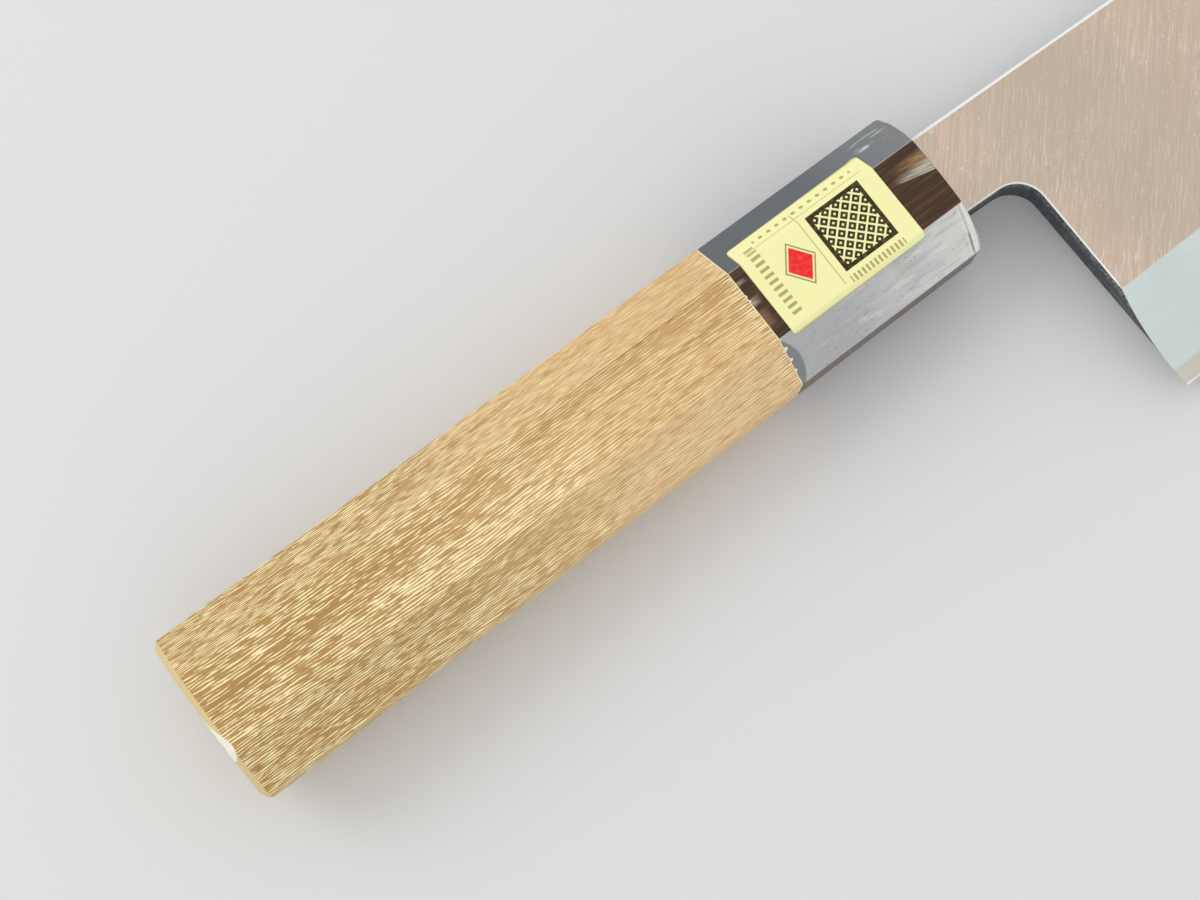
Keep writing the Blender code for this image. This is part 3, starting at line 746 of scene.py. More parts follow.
def steel_rings(lines):
    """Hard steel under the weld: bevel strip and honed edge, hollow back, spine and weld face.

    The honed strip ends where its own slope, from its setback, meets the bevel's slope.
    """
    wall, width, easing, weld = lines.wall, lines.width, lines.easing, lines.weld
    edge = np.where(wall, 0.0, np.minimum(HONE_SETBACK, width / 2))
    strip_end = np.maximum(lines.weld_reach(weld), edge)
    hone_end = HONE_SETBACK * HONE_SLOPE / np.maximum(HONE_SLOPE - lines.slope, HONE_LEAST)
    hone_end = np.clip(hone_end, edge, strip_end)
    strip = np.concatenate((spread(strip_end, hone_end, STRIP_ROWS),
                            spread(hone_end, edge, HONE_ROWS)[:, 1:]), axis=1)
    down = spread(weld, np.zeros_like(weld), STRIP_ROWS + HONE_ROWS - 1)

    inner = np.maximum(width - easing, edge)
    first, last = hollow_span(lines, edge, inner)
    knee = np.clip(lines.bend, edge, first)
    back = np.concatenate((spread(edge, knee, RIM_ROWS, False),
                           spread(knee, first, RIM_ROWS, False),
                           spread(first, last, HOLLOW_ROWS, False),
                           spread(last, inner, RIM_ROWS + 1)), axis=1)
    depth, _ = lines.form.hollow(lines.plan(back))
    _, drop = corner_profile(EASING_STEPS)
    under = np.minimum(easing * drop, weld)
    out = width - corner_inset(np.minimum(weld, easing), easing)
    over = np.concatenate((out, np.clip(back[:, ::-1], strip_end, out)), axis=1)

    reach, rise, ends = join((
        (np.where(wall, 0.0, strip), np.where(wall, down, lines.top(strip))), (back, depth),
        (width - corner_inset(under, easing), under),
        (over, np.minimum(weld, np.maximum(lines.top(over), 0.0)))))
    slots = np.full((len(weld) - 1, ends[-1]), FLAT)
    slots[:, :STRIP_ROWS - 1] = BEVEL
    # The honed strip is painted bright as a highlight
    slots[:, STRIP_ROWS - 1:ends[0]] = GROUND_AND_HIGHLIGHT
    slots[wall[:-1, 0], :ends[0]] = SCALE_AND_SHADE
    return lines.points(reach, rise), slots


def hollow_span(lines, low, high):
    """Plan distances at which each cross line enters and leaves the hollow of the back.

    Each is where a straight line between the samples on both sides of the outline crosses nought.
    """
    _, inside = lines.form.hollow(lines.plan(spread(low, high, HOLLOW_STEPS + 1)))
    hit = inside > 0.0
    hit[:, (0, -1)] = False
    first = np.argmax(hit, axis=1)[:, None]
    last = HOLLOW_STEPS - np.argmax(hit[:, ::-1], axis=1)[:, None]
    before, begin, end, after = (
        np.take_along_axis(inside, index % (HOLLOW_STEPS + 1), axis=1)
        for index in (first - 1, first, last, last + 1))
    enter = np.clip(before / np.minimum(before - begin, -MERGE), 0.0, 1.0)
    leave = np.clip(end / np.maximum(end - after, MERGE), 0.0, 1.0)
    found = hit.any(axis=1, keepdims=True)
    middle = (low + high) / 2
    step = (high - low) / HOLLOW_STEPS
    start = np.where(found, low + step * (first - 1 + enter), middle)
    return start, np.maximum(np.where(found, low + step * (last + leave), middle), start)


def handle_rings(sizes):
    """Wooden body from the butt's centre over its chamfer and facets to the tenon and tang slot."""
    length = sizes.handle_length - sizes.ferrule_length - JOINT_GAP
    inset, drop = corner_profile(EASING_STEPS)
    start = sizes.butt_chamfer
    x = np.concatenate((start * drop, np.linspace(start, start + BUTT_ZONE, BUTT_STATIONS)[1:],
                        np.linspace(start + BUTT_ZONE, length, WOOD_STATIONS)[1:]))
    insets = np.concatenate((start * inset, np.zeros(len(x) - len(inset))))
    outer = octagon_rings(sections_between(BUTT_SECTION, JOINT_SECTION, x / length), insets,
                          sizes.wood_crease, WOOD_FLAT_STEPS)
    along = np.broadcast_to(x[:, None, None] - sizes.handle_length, (*outer.shape[:2], 1))
    body = carve_scoop(np.concatenate((along, outer), axis=-1), sizes)
    ring = outer[-1]
    torn = fibre_reach(ring)
    body[-1, :, 0] += torn
    body[-1, :, 1:] += np.where(torn > 0.0, FIBRE_LIFT, 0.0)[:, None] * round_ring(ring, 1.0)
    rear = -sizes.ferrule_length - JOINT_GAP
    tenon_front = rear + JOINT_GAP + TENON_LENGTH
    tenon = round_ring(ring, TENON_RADIUS)
    rings = [with_x(-sizes.handle_length, outer[0] * share) for share in (0.0, 0.35, 0.7)]
    rings = [*rings, *body, with_x(rear, ring), with_x(rear, tenon), with_x(tenon_front, tenon)]
    slot_end = -TANG_LENGTH - TANG_END_ROOM
    for x_slot, scale in ((tenon_front, 1.0), (slot_end, 1.0), (slot_end, 0.0)):
        half_y, half_z = tang_section(x_slot)
        slot = square_ring(ring, half_y + SLOT_CLEARANCE, half_z + SLOT_CLEARANCE, 0.0)
        rings.append(with_x(x_slot, slot * scale))
    return np.stack(rings)


def carve_scoop(body, sizes):
    """Press points above a tilted plane down onto it.

    The plane's reach along the handle is 4 u (1 - u), where u is a power of the share across.
    """
    normal = unit(np.array(SCOOP_NORMAL))
    begin, end = SCOOP_ENDS
    share = np.clip((begin - body[..., 1]) / (begin - end), 0.0, 1.0) ** SCOOP_SKEW
    reach = SCOOP_REACH * 4 * share * (1 - share)
    above = ((body[..., 0] + sizes.handle_length - reach) * normal[0]
             + (body[..., 2] - BUTT_SECTION[1] / 2) * normal[2])
    press = np.where((reach > 0.0) & (body[..., 2] > 0.0), np.maximum(above, 0.0), 0.0)
    return body - press[..., None] * normal


def fibre_reach(ring):
    """How far torn wood fibres reach over the horn.

    Teeth on the edge side's facet are a cosine's part over 0.45, more or less long along a sine.
    Juts on the flat are a closer cosine's part over 0.3.
    """
    across, height = ring[:, 0], ring[:, 1]
    teeth = np.maximum(np.cos(2 * pi * across / FIBRE_SPACING) - 0.45, 0.0) / 0.55
    teeth *= 0.65 + 0.35 * np.sin(across * FIBRE_CHANGE)
    juts = np.maximum(np.cos(2 * pi * across / JUT_SPACING) - 0.3, 0.0) / 0.7
    facet = (smooth((-across - FIBRE_FACET[0]) / FIBRE_FADES[0]) * (height > 0.0)
             * smooth((FIBRE_FACET[1] + across) / FIBRE_FADES[1]))
    flat = (np.abs(across - JUT_MIDDLE) < JUT_MIDDLE) & (height > JUT_LEVEL)
    return FIBRE_REACH * (teeth * facet + JUT_SHARE * juts * flat)


def ferrule_rings(sizes):
    """Horn ferrule: over its rear face and facets, round its front edge and in through the slot.

    The front edge is a quarter circle whose radius grows from the flats to the sides. The rim of
    both flats is worn back along a parabola in y, which fades out past the creases.
    """
    length = sizes.ferrule_length
    ends = sections_between(JOINT_SECTION, FRONT_SECTION, np.array((0.0, 1.0)))
    rear, front = octagon_rings(ends, np.zeros(2), sizes.horn_crease, HORN_FLAT_STEPS)
    off_middle = np.abs(front[:, 0])
    side = smooth((off_middle - ROUNDING_FADE[0]) / ROUNDING_FADE[1])
    rounding = FLAT_ROUNDING + (sizes.front_rounding - FLAT_ROUNDING) * side
    middle, more, half = FRONT_SETBACK
    setback = middle + more * np.minimum((off_middle / half) ** 2, 1.0)
    begin, run, share = SETBACK_FADE
    rim = length - setback * (1 - share * smooth((off_middle - begin) / run))
    share = np.linspace(0.0, 1.0, HORN_STATIONS)[:, None]
    turn = np.linspace(0.0, pi / 2, ARC_STATIONS)[1:, None]
    none = np.zeros_like(rounding)
    x = np.concatenate((none[None], REAR_ROUNDING + (rim - rounding - REAR_ROUNDING) * share,
                        rim - rounding * (1 - np.sin(turn))))
    inset = np.concatenate((none[None] + REAR_ROUNDING, none * share,
                            rounding * (1 - np.cos(turn))))
    outer = rear + (front - rear) * (x / length)[..., None]
    outer *= 1 - (inset / np.linalg.norm(outer, axis=-1))[..., None]
    body = np.concatenate(((x - length)[..., None], outer), axis=-1)
    ring = outer[-1]
    low_y = -NECK_BELOW - NECK_FIT
    high_y = NECK_ABOVE + NECK_FIT
    half_z = sizes.neck_thickness / 2 + NECK_FIT
    slot = square_ring(ring, (high_y - low_y) / 2, half_z, np.array(((low_y + high_y) / 2, 0.0)))
    bore = round_ring(ring, TENON_RADIUS + TENON_CLEARANCE)
    wall = -length + TENON_LENGTH + TENON_CLEARANCE
    inner = [with_x(0.0, slot), with_x(wall, slot), with_x(wall, bore), with_x(-length, bore)]
    return np.concatenate((body, np.stack(inner)))


def label_points(x, around, lift, sizes):
    """Places on the paper: over the upper flat, an arc round each crease and on down the facet."""
    share = x / sizes.ferrule_length
    height, thickness, corner = sections_between(JOINT_SECTION, FRONT_SECTION, share)
    crease = height / 2 - corner
    bend = sizes.horn_crease
    tangent = bend * tan(pi / 8)
    side = np.sign(around)
    over = np.abs(around) - (crease - tangent)
    turn = np.clip(over / bend, 0.0, pi / 4)
    past = np.maximum(over - bend * pi / 4, 0.0)
    flat = np.minimum(np.abs(around), crease - tangent)
    y = flat + (bend + lift) * np.sin(turn) + past * cos(pi / 4)
    z = thickness / 2 - bend + (bend + lift) * np.cos(turn) - past * sin(pi / 4)
    return np.stack((x - sizes.ferrule_length, side * y, z), axis=-1)


def label_rings(sizes):
    """Paper sheet as stations across the label; each ring runs along its top and back underneath.

    A rounded rectangle: near both sides the half length shrinks along a quarter circle.
    """
    low = -JOINT_CREASE - LABEL_BELOW
    high = JOINT_CREASE + LABEL_ABOVE
    turn = np.linspace(0.0, pi / 2, ARC_STATIONS)
    rounded = LABEL_CORNER * (1 - np.cos(turn))
    straight = np.linspace(low + LABEL_CORNER, high - LABEL_CORNER, LABEL_STATIONS)[1:-1]
    around = np.concatenate((low + rounded, straight, high - rounded[::-1]))
    into = np.maximum(LABEL_CORNER - np.minimum(around - low, high - around), 0.0)
    short = LABEL_CORNER - np.sqrt(np.maximum(LABEL_CORNER ** 2 - into ** 2, 0.0))
    half = sizes.label_length / 2 - short
    share = np.sin(np.linspace(-pi / 2, pi / 2, LABEL_ROWS))
    x = LABEL_START + sizes.label_length / 2 + half[:, None] * share
    way = around[:, None] + tan(LABEL_TURN) * (x - LABEL_START - sizes.label_length / 2)
    x = x - tan(LABEL_TURN) * around[:, None]
    curl = LABEL_CURL * smooth((share - 0.90) / 0.1)
    curl = curl * smooth((around[:, None] - high + LABEL_CURL_REACH) / LABEL_CURL_REACH)
    under = LABEL_GAP + curl
    top = label_points(x, way, under + sizes.label_thickness, sizes)
    bottom = label_points(x, way, under, sizes)
    rings = np.concatenate((top, bottom[:, ::-1]), axis=1)
    middle = (top + bottom) / 2
    ends = np.concatenate((middle, middle[:, ::-1]), axis=1)
    return np.concatenate((ends[:1], rings, ends[-1:]))


class Value:
    """What a node gives at each place: a number, vector or colour. Numbers join up as formulas."""

    def __init__(self, finish, socket):
        self.finish = finish
        self.socket = socket

    def calc(self, operation, other=0.0):
        return self.finish.node("Math", {0: self, 1: other}, operation=operation)

    def __add__(self, other):
        return self.calc("ADD", other)

    def __sub__(self, other):
        return self.calc("SUBTRACT", other)

    def __rsub__(self, other):
        return self.finish.node("Math", {0: other, 1: self}, operation="SUBTRACT")

    def __mul__(self, other):
        return self.calc("MULTIPLY", other)

    def __pow__(self, power):
        return self.calc("POWER", power)

    def __abs__(self):
        return self.calc("ABSOLUTE")

    def least(self, other):
        return self.calc("MINIMUM", other)

    def most(self, other):
        return self.calc("MAXIMUM", other)

    def band(self, low, high, to_low=0.0, to_high=1.0):
        """Smooth step between two levels."""
        return self.finish.node("MapRange", {0: self, 1: low, 2: high, 3: to_low, 4: to_high},
                                interpolation_type="SMOOTHSTEP")

    def near(self, centre, half, soft):
        """One within a half width of a centre, falling to nought over the soft width outside."""
        return abs(self - centre).band(half + soft, half)

    def parts(self):
        """The three numbers of a vector."""
        split = self.finish.node("SeparateXYZ", {0: self})
        return [Value(self.finish, part) for part in split.socket.node.outputs]


class Finish:
    """One material, with short calls for the nodes that its patterns share.

    Places and widths in a pattern are in millimetres, and a noise's scale is per millimetre.
    """

    def __init__(self, name, sizes, roughness, metallic=0.0, specular=0.5):
        self.material = bpy.data.materials.new(name)
        self.material.use_nodes = True
        self.tree = self.material.node_tree
        self.shader = self.tree.nodes["Principled BSDF"].inputs
        self.shader["Roughness"].default_value = roughness
        self.shader["Metallic"].default_value = metallic
        self.shader["Specular IOR Level"].default_value = specular
        axes, origin = knife_axes(sizes)
        to_knife = Matrix(axes.T.tolist())
        self.place = self.mapped(self.node("TexCoord", {}, "Object"), MILLIMETRES,
                                 to_knife.to_euler(), to_knife @ Vector(origin) * -MILLIMETRES)
        self.x, self.y, self.z = self.place.parts()

    def node(self, kind, inputs, output=0, **settings):
        """A new node's output. Its inputs are other outputs or plain values."""
        made = self.tree.nodes.new("ShaderNode" + kind)
        for name, value in settings.items():
            setattr(made, name, value)
        for key, value in inputs.items():
            if isinstance(value, Value):
                self.tree.links.new(value.socket, made.inputs[key])
            else:
                made.inputs[key].default_value = value
        return Value(self, made.outputs[output])

    def mapped(self, vector, scale=1.0, rotation=(0.0, 0.0, 0.0), location=(0.0, 0.0, 0.0)):
        """A vector scaled, by one number or one for each axis, then turned, then moved."""
        scale = scale if isinstance(scale, tuple) else (scale,) * 3
        return self.node("Mapping", {"Vector": vector, "Scale": scale, "Rotation": rotation,
                                     "Location": location})

    def turned(self, angle, offset=0.0):
        """The knife's axes with X turned to a direction in the blade's plane."""
        return self.mapped(self.place, 1.0, (0.0, 0.0, -angle), (offset, offset, 0.0))

    def moved(self, y, z):
        """The knife's axes moved sideways."""
        move = self.node("CombineXYZ", {1: y, 2: z})
        return self.node("VectorMath", {0: self.place, 1: move}, operation="ADD")

    def noise(self, scale, detail=2.0, vector=None, roughness=0.5, distortion=0.0):
        """Noise over a place, by default the knife's axes, with its scale along them."""
        place = self.mapped(vector or self.place, scale)
        return self.node("TexNoise", {"Vector": place, "Scale": 1.0, "Detail": detail,
                                      "Roughness": roughness, "Distortion": distortion})

    def mix(self, share, first, second):
        """Two colours mixed, each a node's output or three numbers."""
        first, second = (tone if isinstance(tone, Value) else (*tone, 1.0)
                         for tone in (first, second))
        return self.node("Mix", {0: share, 6: first, 7: second}, 2, data_type="RGBA")

    def coats(self, ground, *coats):
        """A ground colour with coats over it, each given by its share and its tone."""
        for share, tone in coats:
            ground = self.mix(share, ground, tone)
        return ground

    def bump(self, height, distance, strength):
        """Raise the surface by a height times a distance in millimetres."""
        normal = self.node("Bump", {"Height": height, "Distance": distance / MILLIMETRES,
                                    "Strength": strength})
        self.tree.links.new(normal.socket, self.shader["Normal"])

    def gloss(self, roughness):
        self.tree.links.new(roughness.socket, self.shader["Roughness"])

    def paint(self, tone):
        self.tree.links.new(tone.socket, self.shader["Base Color"])
        return self.material


def wood_finish(sizes, tones):
    """Sanded magnolia: golden ground, brown bands and lines along the grain, and short pale flecks.

    The flecks are dense and crisp to the butt, where they tilt, and fine and faint to the ferrule.
    """
    wood = Finish("handle_wood", sizes, 0.6, specular=0.25)
    x, y, z = wood.x, wood.y, wood.z
    butt = -sizes.handle_length * MILLIMETRES
    front = -sizes.ferrule_length * MILLIMETRES
    quick = wood.noise((0.16, 0.5, 0.5))
    tilt = (x + TILT_START).least(0.0) * TILT
    sway = quick * 0.35 + tilt + wood.noise((0.014, 0.06, 0.06), 1.0) * 3.0
    grain = wood.moved(sway, quick * 0.25)
    around = abs(y + sway) - abs(z) * 0.35
    warp = wood.noise((0.16, 0.9, 0.9)) * 0.45
    comb = ((around + warp) * (2 * pi / GRAIN_PERIOD)).calc("SINE")
    lines = wood.noise((0.030, 2.8, 2.8), vector=grain)
    strokes = wood.noise((0.38, 3.6, 3.6), vector=grain) + comb * 0.13

    # Dark parts: the heart's band, one low and one high patch near the butt, and two strands
    heart = (y - ((x + 60.0).least(0.0) * 0.06 + 4.9)).near(0.0, 0.5, 1.6)
    low = y.near(-9.0, 1.0, 2.0) * x.near(-94.0, 8.0, 16.0)
    high = y.near(11.5, 2.5, 2.0) * x.near(-112.0, 14.0, 14.0)
    strands = (y.near(5.9, 0.5, 0.35) * x.band(-85.0, -68.0)
               + y.near(-4.3, 0.3, 0.3) * x.band(-60.0, -50.0))
    bands = wood.noise((0.010, 0.42, 0.30), 3.0, grain).band(0.52, 0.70)
    brown = (heart * 0.34 + low * 0.16 + high * 0.30 + bands * 0.45
             + lines.band(0.56, 0.70) * heart.band(0.0, 1.0, 0.35, 0.6)
             + strands * lines.band(0.48, 0.60) * 0.6)
    coarse = x.band(front - 1.6, butt + 28.0)
    joint = x.band(front - 3.1, front - 0.4)
    shade = strokes.band(0.44, 0.28) * (joint * 0.3 + 0.60)

    # Pale flecks, more of them in one rich patch and along one line
    rich = y.near(-2.8, 2.2, 2.4) * x.near(-88.0, 12.0, 12.0)
    pale_line = y.near(6.5, 0.3, 0.3) * x.near(-92.0, 10.0, 8.0)
    patches = wood.noise((0.018, 0.45, 0.45), 1.0, grain)
    level = (strokes + patches * 0.16 + coarse * 0.03 - (heart + low) * 0.03
             + (rich + pale_line) * 0.04)
    clear = coarse.most(joint).most(rich * 0.9)
    bright = level.band(0.62, 0.74) * clear.band(0.0, 1.0, 0.55, 1.0)

    # The butt: growth rings round a far centre, and the fresh cut of the scoop
    ring = ((y + 6.0) ** 2.0 + (z + 30.0) ** 2.0) ** 0.5
    ring = (ring * 0.55 + quick).calc("FRACT").band(0.45, 1.0)
    share = (y * -0.098 + 0.186).most(0.0) ** SCOOP_SKEW
    reach = share * (1.0 - share) * (4 * SCOOP_REACH * MILLIMETRES)
    cut = (x - reach).band(butt + 0.05, butt - 0.05) * z.band(9.0, 9.5)

    pale = y.near(-10.5, 2.6, 2.0) * x.band(-80.0, -52.0)
    ground = wood.mix(x.band(-120.0, -62.0), tones.wood_ground, tones.wood_front)
    wood.bump(bright * 0.5 - lines * 0.4, 0.06, 0.5)
    return wood.paint(wood.coats(
        ground, (pale * 0.6, tones.wood_pale), (brown, tones.wood_brown),
        (shade, tones.wood_brown), (bright, tones.wood_fleck),
        (x.band(front - 0.32, front - 0.12) * 0.75, tones.wood_torn),
        (x.band(front - 0.02, front + 0.15) * 0.8, tones.wood_scoop),
        (x.band(butt + 1.05, butt + 0.8), tones.wood_seal),
        (ring * x.band(butt + 0.1, butt + 0.01) * 0.30, tones.wood_brown),
        (cut, tones.wood_scoop)))


def horn_finish(sizes, tones):
    """Polished horn: slate and pale grey painted reflections on two upper facets, elsewhere dark
    brown with streaks.
    """
    horn = Finish("buffalo_horn", sizes, 0.24, specular=0.3)
    x, y, z = horn.x, horn.y, horn.z
    rear = -sizes.ferrule_length * MILLIMETRES
    fibres = horn.noise((0.10, 2.4, 2.4), 3.0)
    crease = 4.75 - z - x * 0.00687
    spine_side = y + crease
    edge_side = crease - y
    foot = (x * 0.0124 + z).band(3.85, 4.0)

    # Spine side: a slate painted reflection, lighter to the front, with white streaks and an amber
    # tint to the front
    streak = horn.noise((0.28, 1.9, 1.9)).band(0.50, 0.64)
    front = x.near(-4.6, 1.4, 2.6) * y.near(10.6, 0.9, 0.9)
    tint = (y * 0.25 + x).near(0.8, 0.3, 0.9) * fibres.band(0.3, 0.6)
    slate_reflection = horn.mix(x.band(-20.0, -2.0), tones.horn_slate, tones.horn_slate_front)
    slate_reflection = horn.coats(slate_reflection, (streak * front * 0.55, tones.horn_white),
                       (tint * 0.16, tones.horn_amber))

    # Dark heart: a cream tongue and a golden streak in front, short streaks at the wood
    streaks = horn.noise((0.30, 4.0, 4.0), vector=horn.turned(-0.20))
    tongue = ((y + x * 0.225 - 0.25).band(-0.03, 0.10) * y.band(3.1, 1.9) * x.band(-7.6, -4.0)
              * streaks.band(0.36, 0.60, 0.35, 0.95))
    gold = y.near(3.4, 0.2, 1.3) * x.band(-7.5, -0.6) * streaks.band(0.30, 0.62, 0.25, 0.95)
    joint = x.band(rear + 2.0, rear + 0.1) * streaks.band(0.30, 0.60, 0.4, 1.0)
    brown = horn.mix(fibres.band(0.46, 0.66), tones.horn_brown, tones.horn_red)
    brown = horn.coats(brown, (gold, tones.horn_amber), (tongue, tones.horn_cream),
                       (joint * y.near(-2.6, 1.2, 0.5) * 0.45, tones.horn_amber),
                       (joint * y.near(0.5, 0.4, 0.5) * 0.75, tones.horn_cream),
                       (joint * y.near(4.2, 0.05, 0.5) * 0.6, tones.horn_cream))

    # Edge side: a pale grey painted reflection with veins and pores, bent painted highlights in
    # front and a painted shade arch at the wood
    down = (10.95 - z) * (1 / 7)
    cloud = horn.noise((0.10, 0.25, 0.25)).band(0.42, 0.66)
    pores = horn.noise((1.3, 3.6, 3.6), 1.0).band(0.68, 0.74)
    veins = horn.noise((0.16, 1.0, 1.0), 3.0, roughness=0.6, distortion=0.8)
    vivid = x.band(-34.0, -18.0, 0.25, 1.0)
    bent = x + down * down * 0.7
    # Dark crescent on the front rounding: painted shade
    crescent_shade = bent.near(-1.30, 0.10, 0.15) * down.near(0.76, 0.13, 0.1)
    # Dark arch along the joint with the wood: painted shade
    arch_shade = (x - down * (1.0 - down) * 6.5).band(rear + 0.4, rear)
    pale = horn.mix(x.band(-30.0, -2.0), tones.horn_grey_reflection, tones.horn_pale_reflection)
    pale = horn.coats(pale, (cloud * 0.5, tones.horn_grey_reflection),
                      (veins.band(0.52, 0.68) * vivid * 0.36, tones.horn_white),
                      (veins.band(0.47, 0.35) * vivid * 0.20, tones.horn_slate_front),
                      (pores * 0.6, tones.horn_slate),
                      # Bent rings round the front rounding: painted highlights, with a thin darker
                      # painted line between them
                      (bent.near(-0.6, 0.30, 0.22) * 0.8, tones.horn_white),
                      (bent.near(-1.25, 0.06, 0.22) * 0.25, tones.horn_slate_front),
                      (bent.near(-1.7, 0.12, 0.22) * 0.35, tones.horn_white),
                      (crescent_shade * 0.6, tones.horn_slate), (arch_shade * 0.65, tones.horn_slate))

    upper, lower = (side.band(-0.05, 0.12) * foot for side in (spine_side, edge_side))
    # White lines along the upper creases: painted highlights
    crease_highlights = ((side.near(0.0, 0.05, 0.10) * foot * 0.35, tones.horn_white)
            for side in (spine_side, edge_side))
    horn.gloss(fibres.band(0.3, 0.7, 0.20, 0.30))
    horn.bump(fibres, 0.012, 0.4)
    return horn.paint(horn.coats(brown, (upper, slate_reflection), (lower, pale), *crease_highlights))


def ground_steel(name, sizes, tone, angle, roughness, contrast, metallic=1.0):
    """Ground metal: fine lines drawn out along the grind, bright and dull, over a slow cloud."""
    steel = Finish(name, sizes, roughness, metallic)
    along = steel.turned(angle)
    lines = (steel.noise((0.05, 2.0, 2.0), vector=along) * 0.55
             + steel.noise((0.16, 7.0, 7.0), vector=along) * 0.45)
    dark, light, dull = ([min(part * share, 1.0) for part in tone]
                         for share in (1 - contrast, 1 + contrast, 0.85))
    cloud = steel.noise(0.06).band(0.35, 0.65, 0.0, 0.35)
    paint = steel.coats(steel.mix(lines.band(0.36, 0.64), dark, light), (cloud, dull))
    steel.gloss(lines.band(0.3, 0.7, roughness + 0.05, roughness - 0.05))
    steel.bump(lines, 0.008, 0.4)
    return steel, paint, along


def flat_finish(sizes, tones):
    """Upper flat: warm ground steel with short pale scratches, specks and a few curled marks, and a
    darker band that is a painted reflection.
    """
    steel, paint, along = ground_steel("iron_flat", sizes, tones.iron_flat, GRIND_ANGLE, 0.36,
                                       0.085)
    short = steel.noise((0.28, 5.0, 5.0), 1.0, along).band(0.57, 0.67)
    patch = steel.noise(0.09, 1.0).band(0.44, 0.62, 0.25, 1.0)
    specks = steel.noise((1.3, 2.8, 2.8), 1.0, along).band(0.69, 0.74)
    curl = steel.noise(0.55, 1.0).near(0.5, 0.004, 0.006)
    rare = steel.noise(0.16, 1.0, steel.turned(0.0, 31.0)).band(0.62, 0.68)
    # Darker band across the flat: a painted reflection, joined with slow dull clouds
    shade = (steel.y * 0.35 + steel.x).near(25.0, 6.0, 14.0) * 0.45
    clouds = steel.noise(0.11).band(0.50, 0.68, 0.0, 0.35)
    return steel.paint(steel.coats(
        paint, (short * patch * 0.6, tones.iron_scratch), (specks * 0.7, tones.iron_scratch),
        (curl * rare * 0.5, tones.iron_scratch), (shade.most(clouds), tones.iron_dull_and_reflection)))


def bevel_finish(sizes, tones):
    """Bevel: smooth and pale, its cool pale tone partly a painted reflection, with faint lines by
    the ridge, warmer just above the weld line.
    """
    steel, paint, _ = ground_steel("iron_bevel_and_reflection", sizes, tones.iron_bevel_and_reflection, 0.015, 0.42, 0.02)
    weld = (STEEL_LAYER - sizes.neck_thickness / 2) * MILLIMETRES
    return steel.paint(steel.mix(steel.z.band(weld + 0.16, weld + 0.01), paint, tones.steel_edge))


def scale_finish(sizes, tones):
    """Blue-black walls of forge scale, their darkness partly painted shade and dark reflection: a
    painted streak that catches light, and a rough rusty band under the flat.
    """
    scale = Finish("iron_scale_and_shade", sizes, 0.5, specular=0.3)
    taper = (sizes.neck_thickness - sizes.tip_thickness) / (HEEL_X + sizes.edge_length)
    lean = (sizes.neck_thickness - sizes.ridge_thickness) / (NECK_ABOVE + RIDGE_BELOW)
    half = sizes.neck_thickness / 2 * MILLIMETRES
    depth = scale.y * lean - scale.x * taper - scale.z + half
    mottle = scale.noise((1.1, 0.9, 1.6), 4.0, roughness=0.65)
    rough = scale.noise((1.7, 1.7, 0.8), 3.0, roughness=0.7)
    band = (mottle * 1.2 + depth).band(3.6, 1.7)
    rust = scale.mix(rough.band(0.42, 0.58), tones.iron_scale_and_shade, tones.iron_rust)
    streak = depth.near(4.3, 0.2, 0.8) * scale.y.band(-26.0, -36.0) * 0.8
    ground = scale.mix(mottle.band(0.42, 0.70), tones.iron_scale_and_shade, tones.iron_scale_light)
    scale.bump(mottle + rough * band, 0.05, 0.7)
    return scale.paint(scale.coats(ground, (band * 0.85, rust), (streak, tones.iron_streak)))


def paper_finish(sizes, tones):
    """Label on its own map in millimetres: lattice panel, red lozenge, rules, dots and ticks."""
    paper = Finish("label_paper", sizes, 0.5, specular=0.15)
    a, b, _ = paper.node("UVMap", {}, uv_map="label").parts()

    def cell(value, period):
        """Distance from the middle of the cell that a value falls in."""
        return abs((value * (1 / period)).calc("FRACT") - 0.5)

    def box(low_a, high_a, low_b, high_b):
        return (a.near((low_a + high_a) / 2, (high_a - low_a) / 2, 0.08)
                * b.near((low_b + high_b) / 2, (high_b - low_b) / 2, 0.08))

    fibre = paper.noise(2.5, 3.0)
    ink = paper.noise(1.4, 4.0) * 0.25 + 0.86
    lattice = cell(a + b, LATTICE).most(cell(a - b, LATTICE))
    pattern = box(13.2, 22.0, 3.9, 12.9) * lattice.band(0.37, 0.41).most(lattice.band(0.14, 0.10))
    dark = box(12.5, 22.7, 3.2, 13.6) * (1.0 - pattern)
    lozenge = abs(a - 7.6) * (1 / 2.3) + abs(b - 8.4) * (1 / 3.1)
    rules = ((a.near(11.2, 0.07, 0.06) * b.near(9.2, 7.4, 0.1))
             .most(b.near(15.0, 0.07, 0.06) * a.near(13.0, 11.2, 0.1)))
    dots = (cell(a, DOT_PERIOD) ** 2.0 + ((b - 16.5) * (1 / DOT_PERIOD)) ** 2.0) ** 0.5
    dots = dots.band(0.27, 0.20) * a.near(13.6, 9.6, 0.01)
    ticks = cell(a, 0.8).band(0.30, 0.22) * b.near(1.7, 0.55, 0.08) * a.near(17.6, 5.2, 0.05)
    rungs = cell(b, 1.15).band(0.27, 0.20) * a.near(2.6, 0.8, 0.08) * b.near(9.2, 6.9, 0.05)
    rim = 1.0 - box(0.12, 26.08, 0.12, 18.28)
    marks = ((lozenge.near(1.22, 0.05, 0.03), 0.9), (rules, 0.55), (dots, 0.75), (ticks, 0.75),
             (rungs, 0.75), (rim, 0.55))
    paper.bump(fibre, 0.01, 0.3)
    return paper.paint(paper.coats(
        tones.paper, (fibre * 0.3, tones.paper_shade), (dark * ink, tones.ink_brown),
        (lozenge.band(1.04, 0.98) * ink, tones.ink_red),
        *((mark * strength, tones.ink_olive) for mark, strength in marks)))


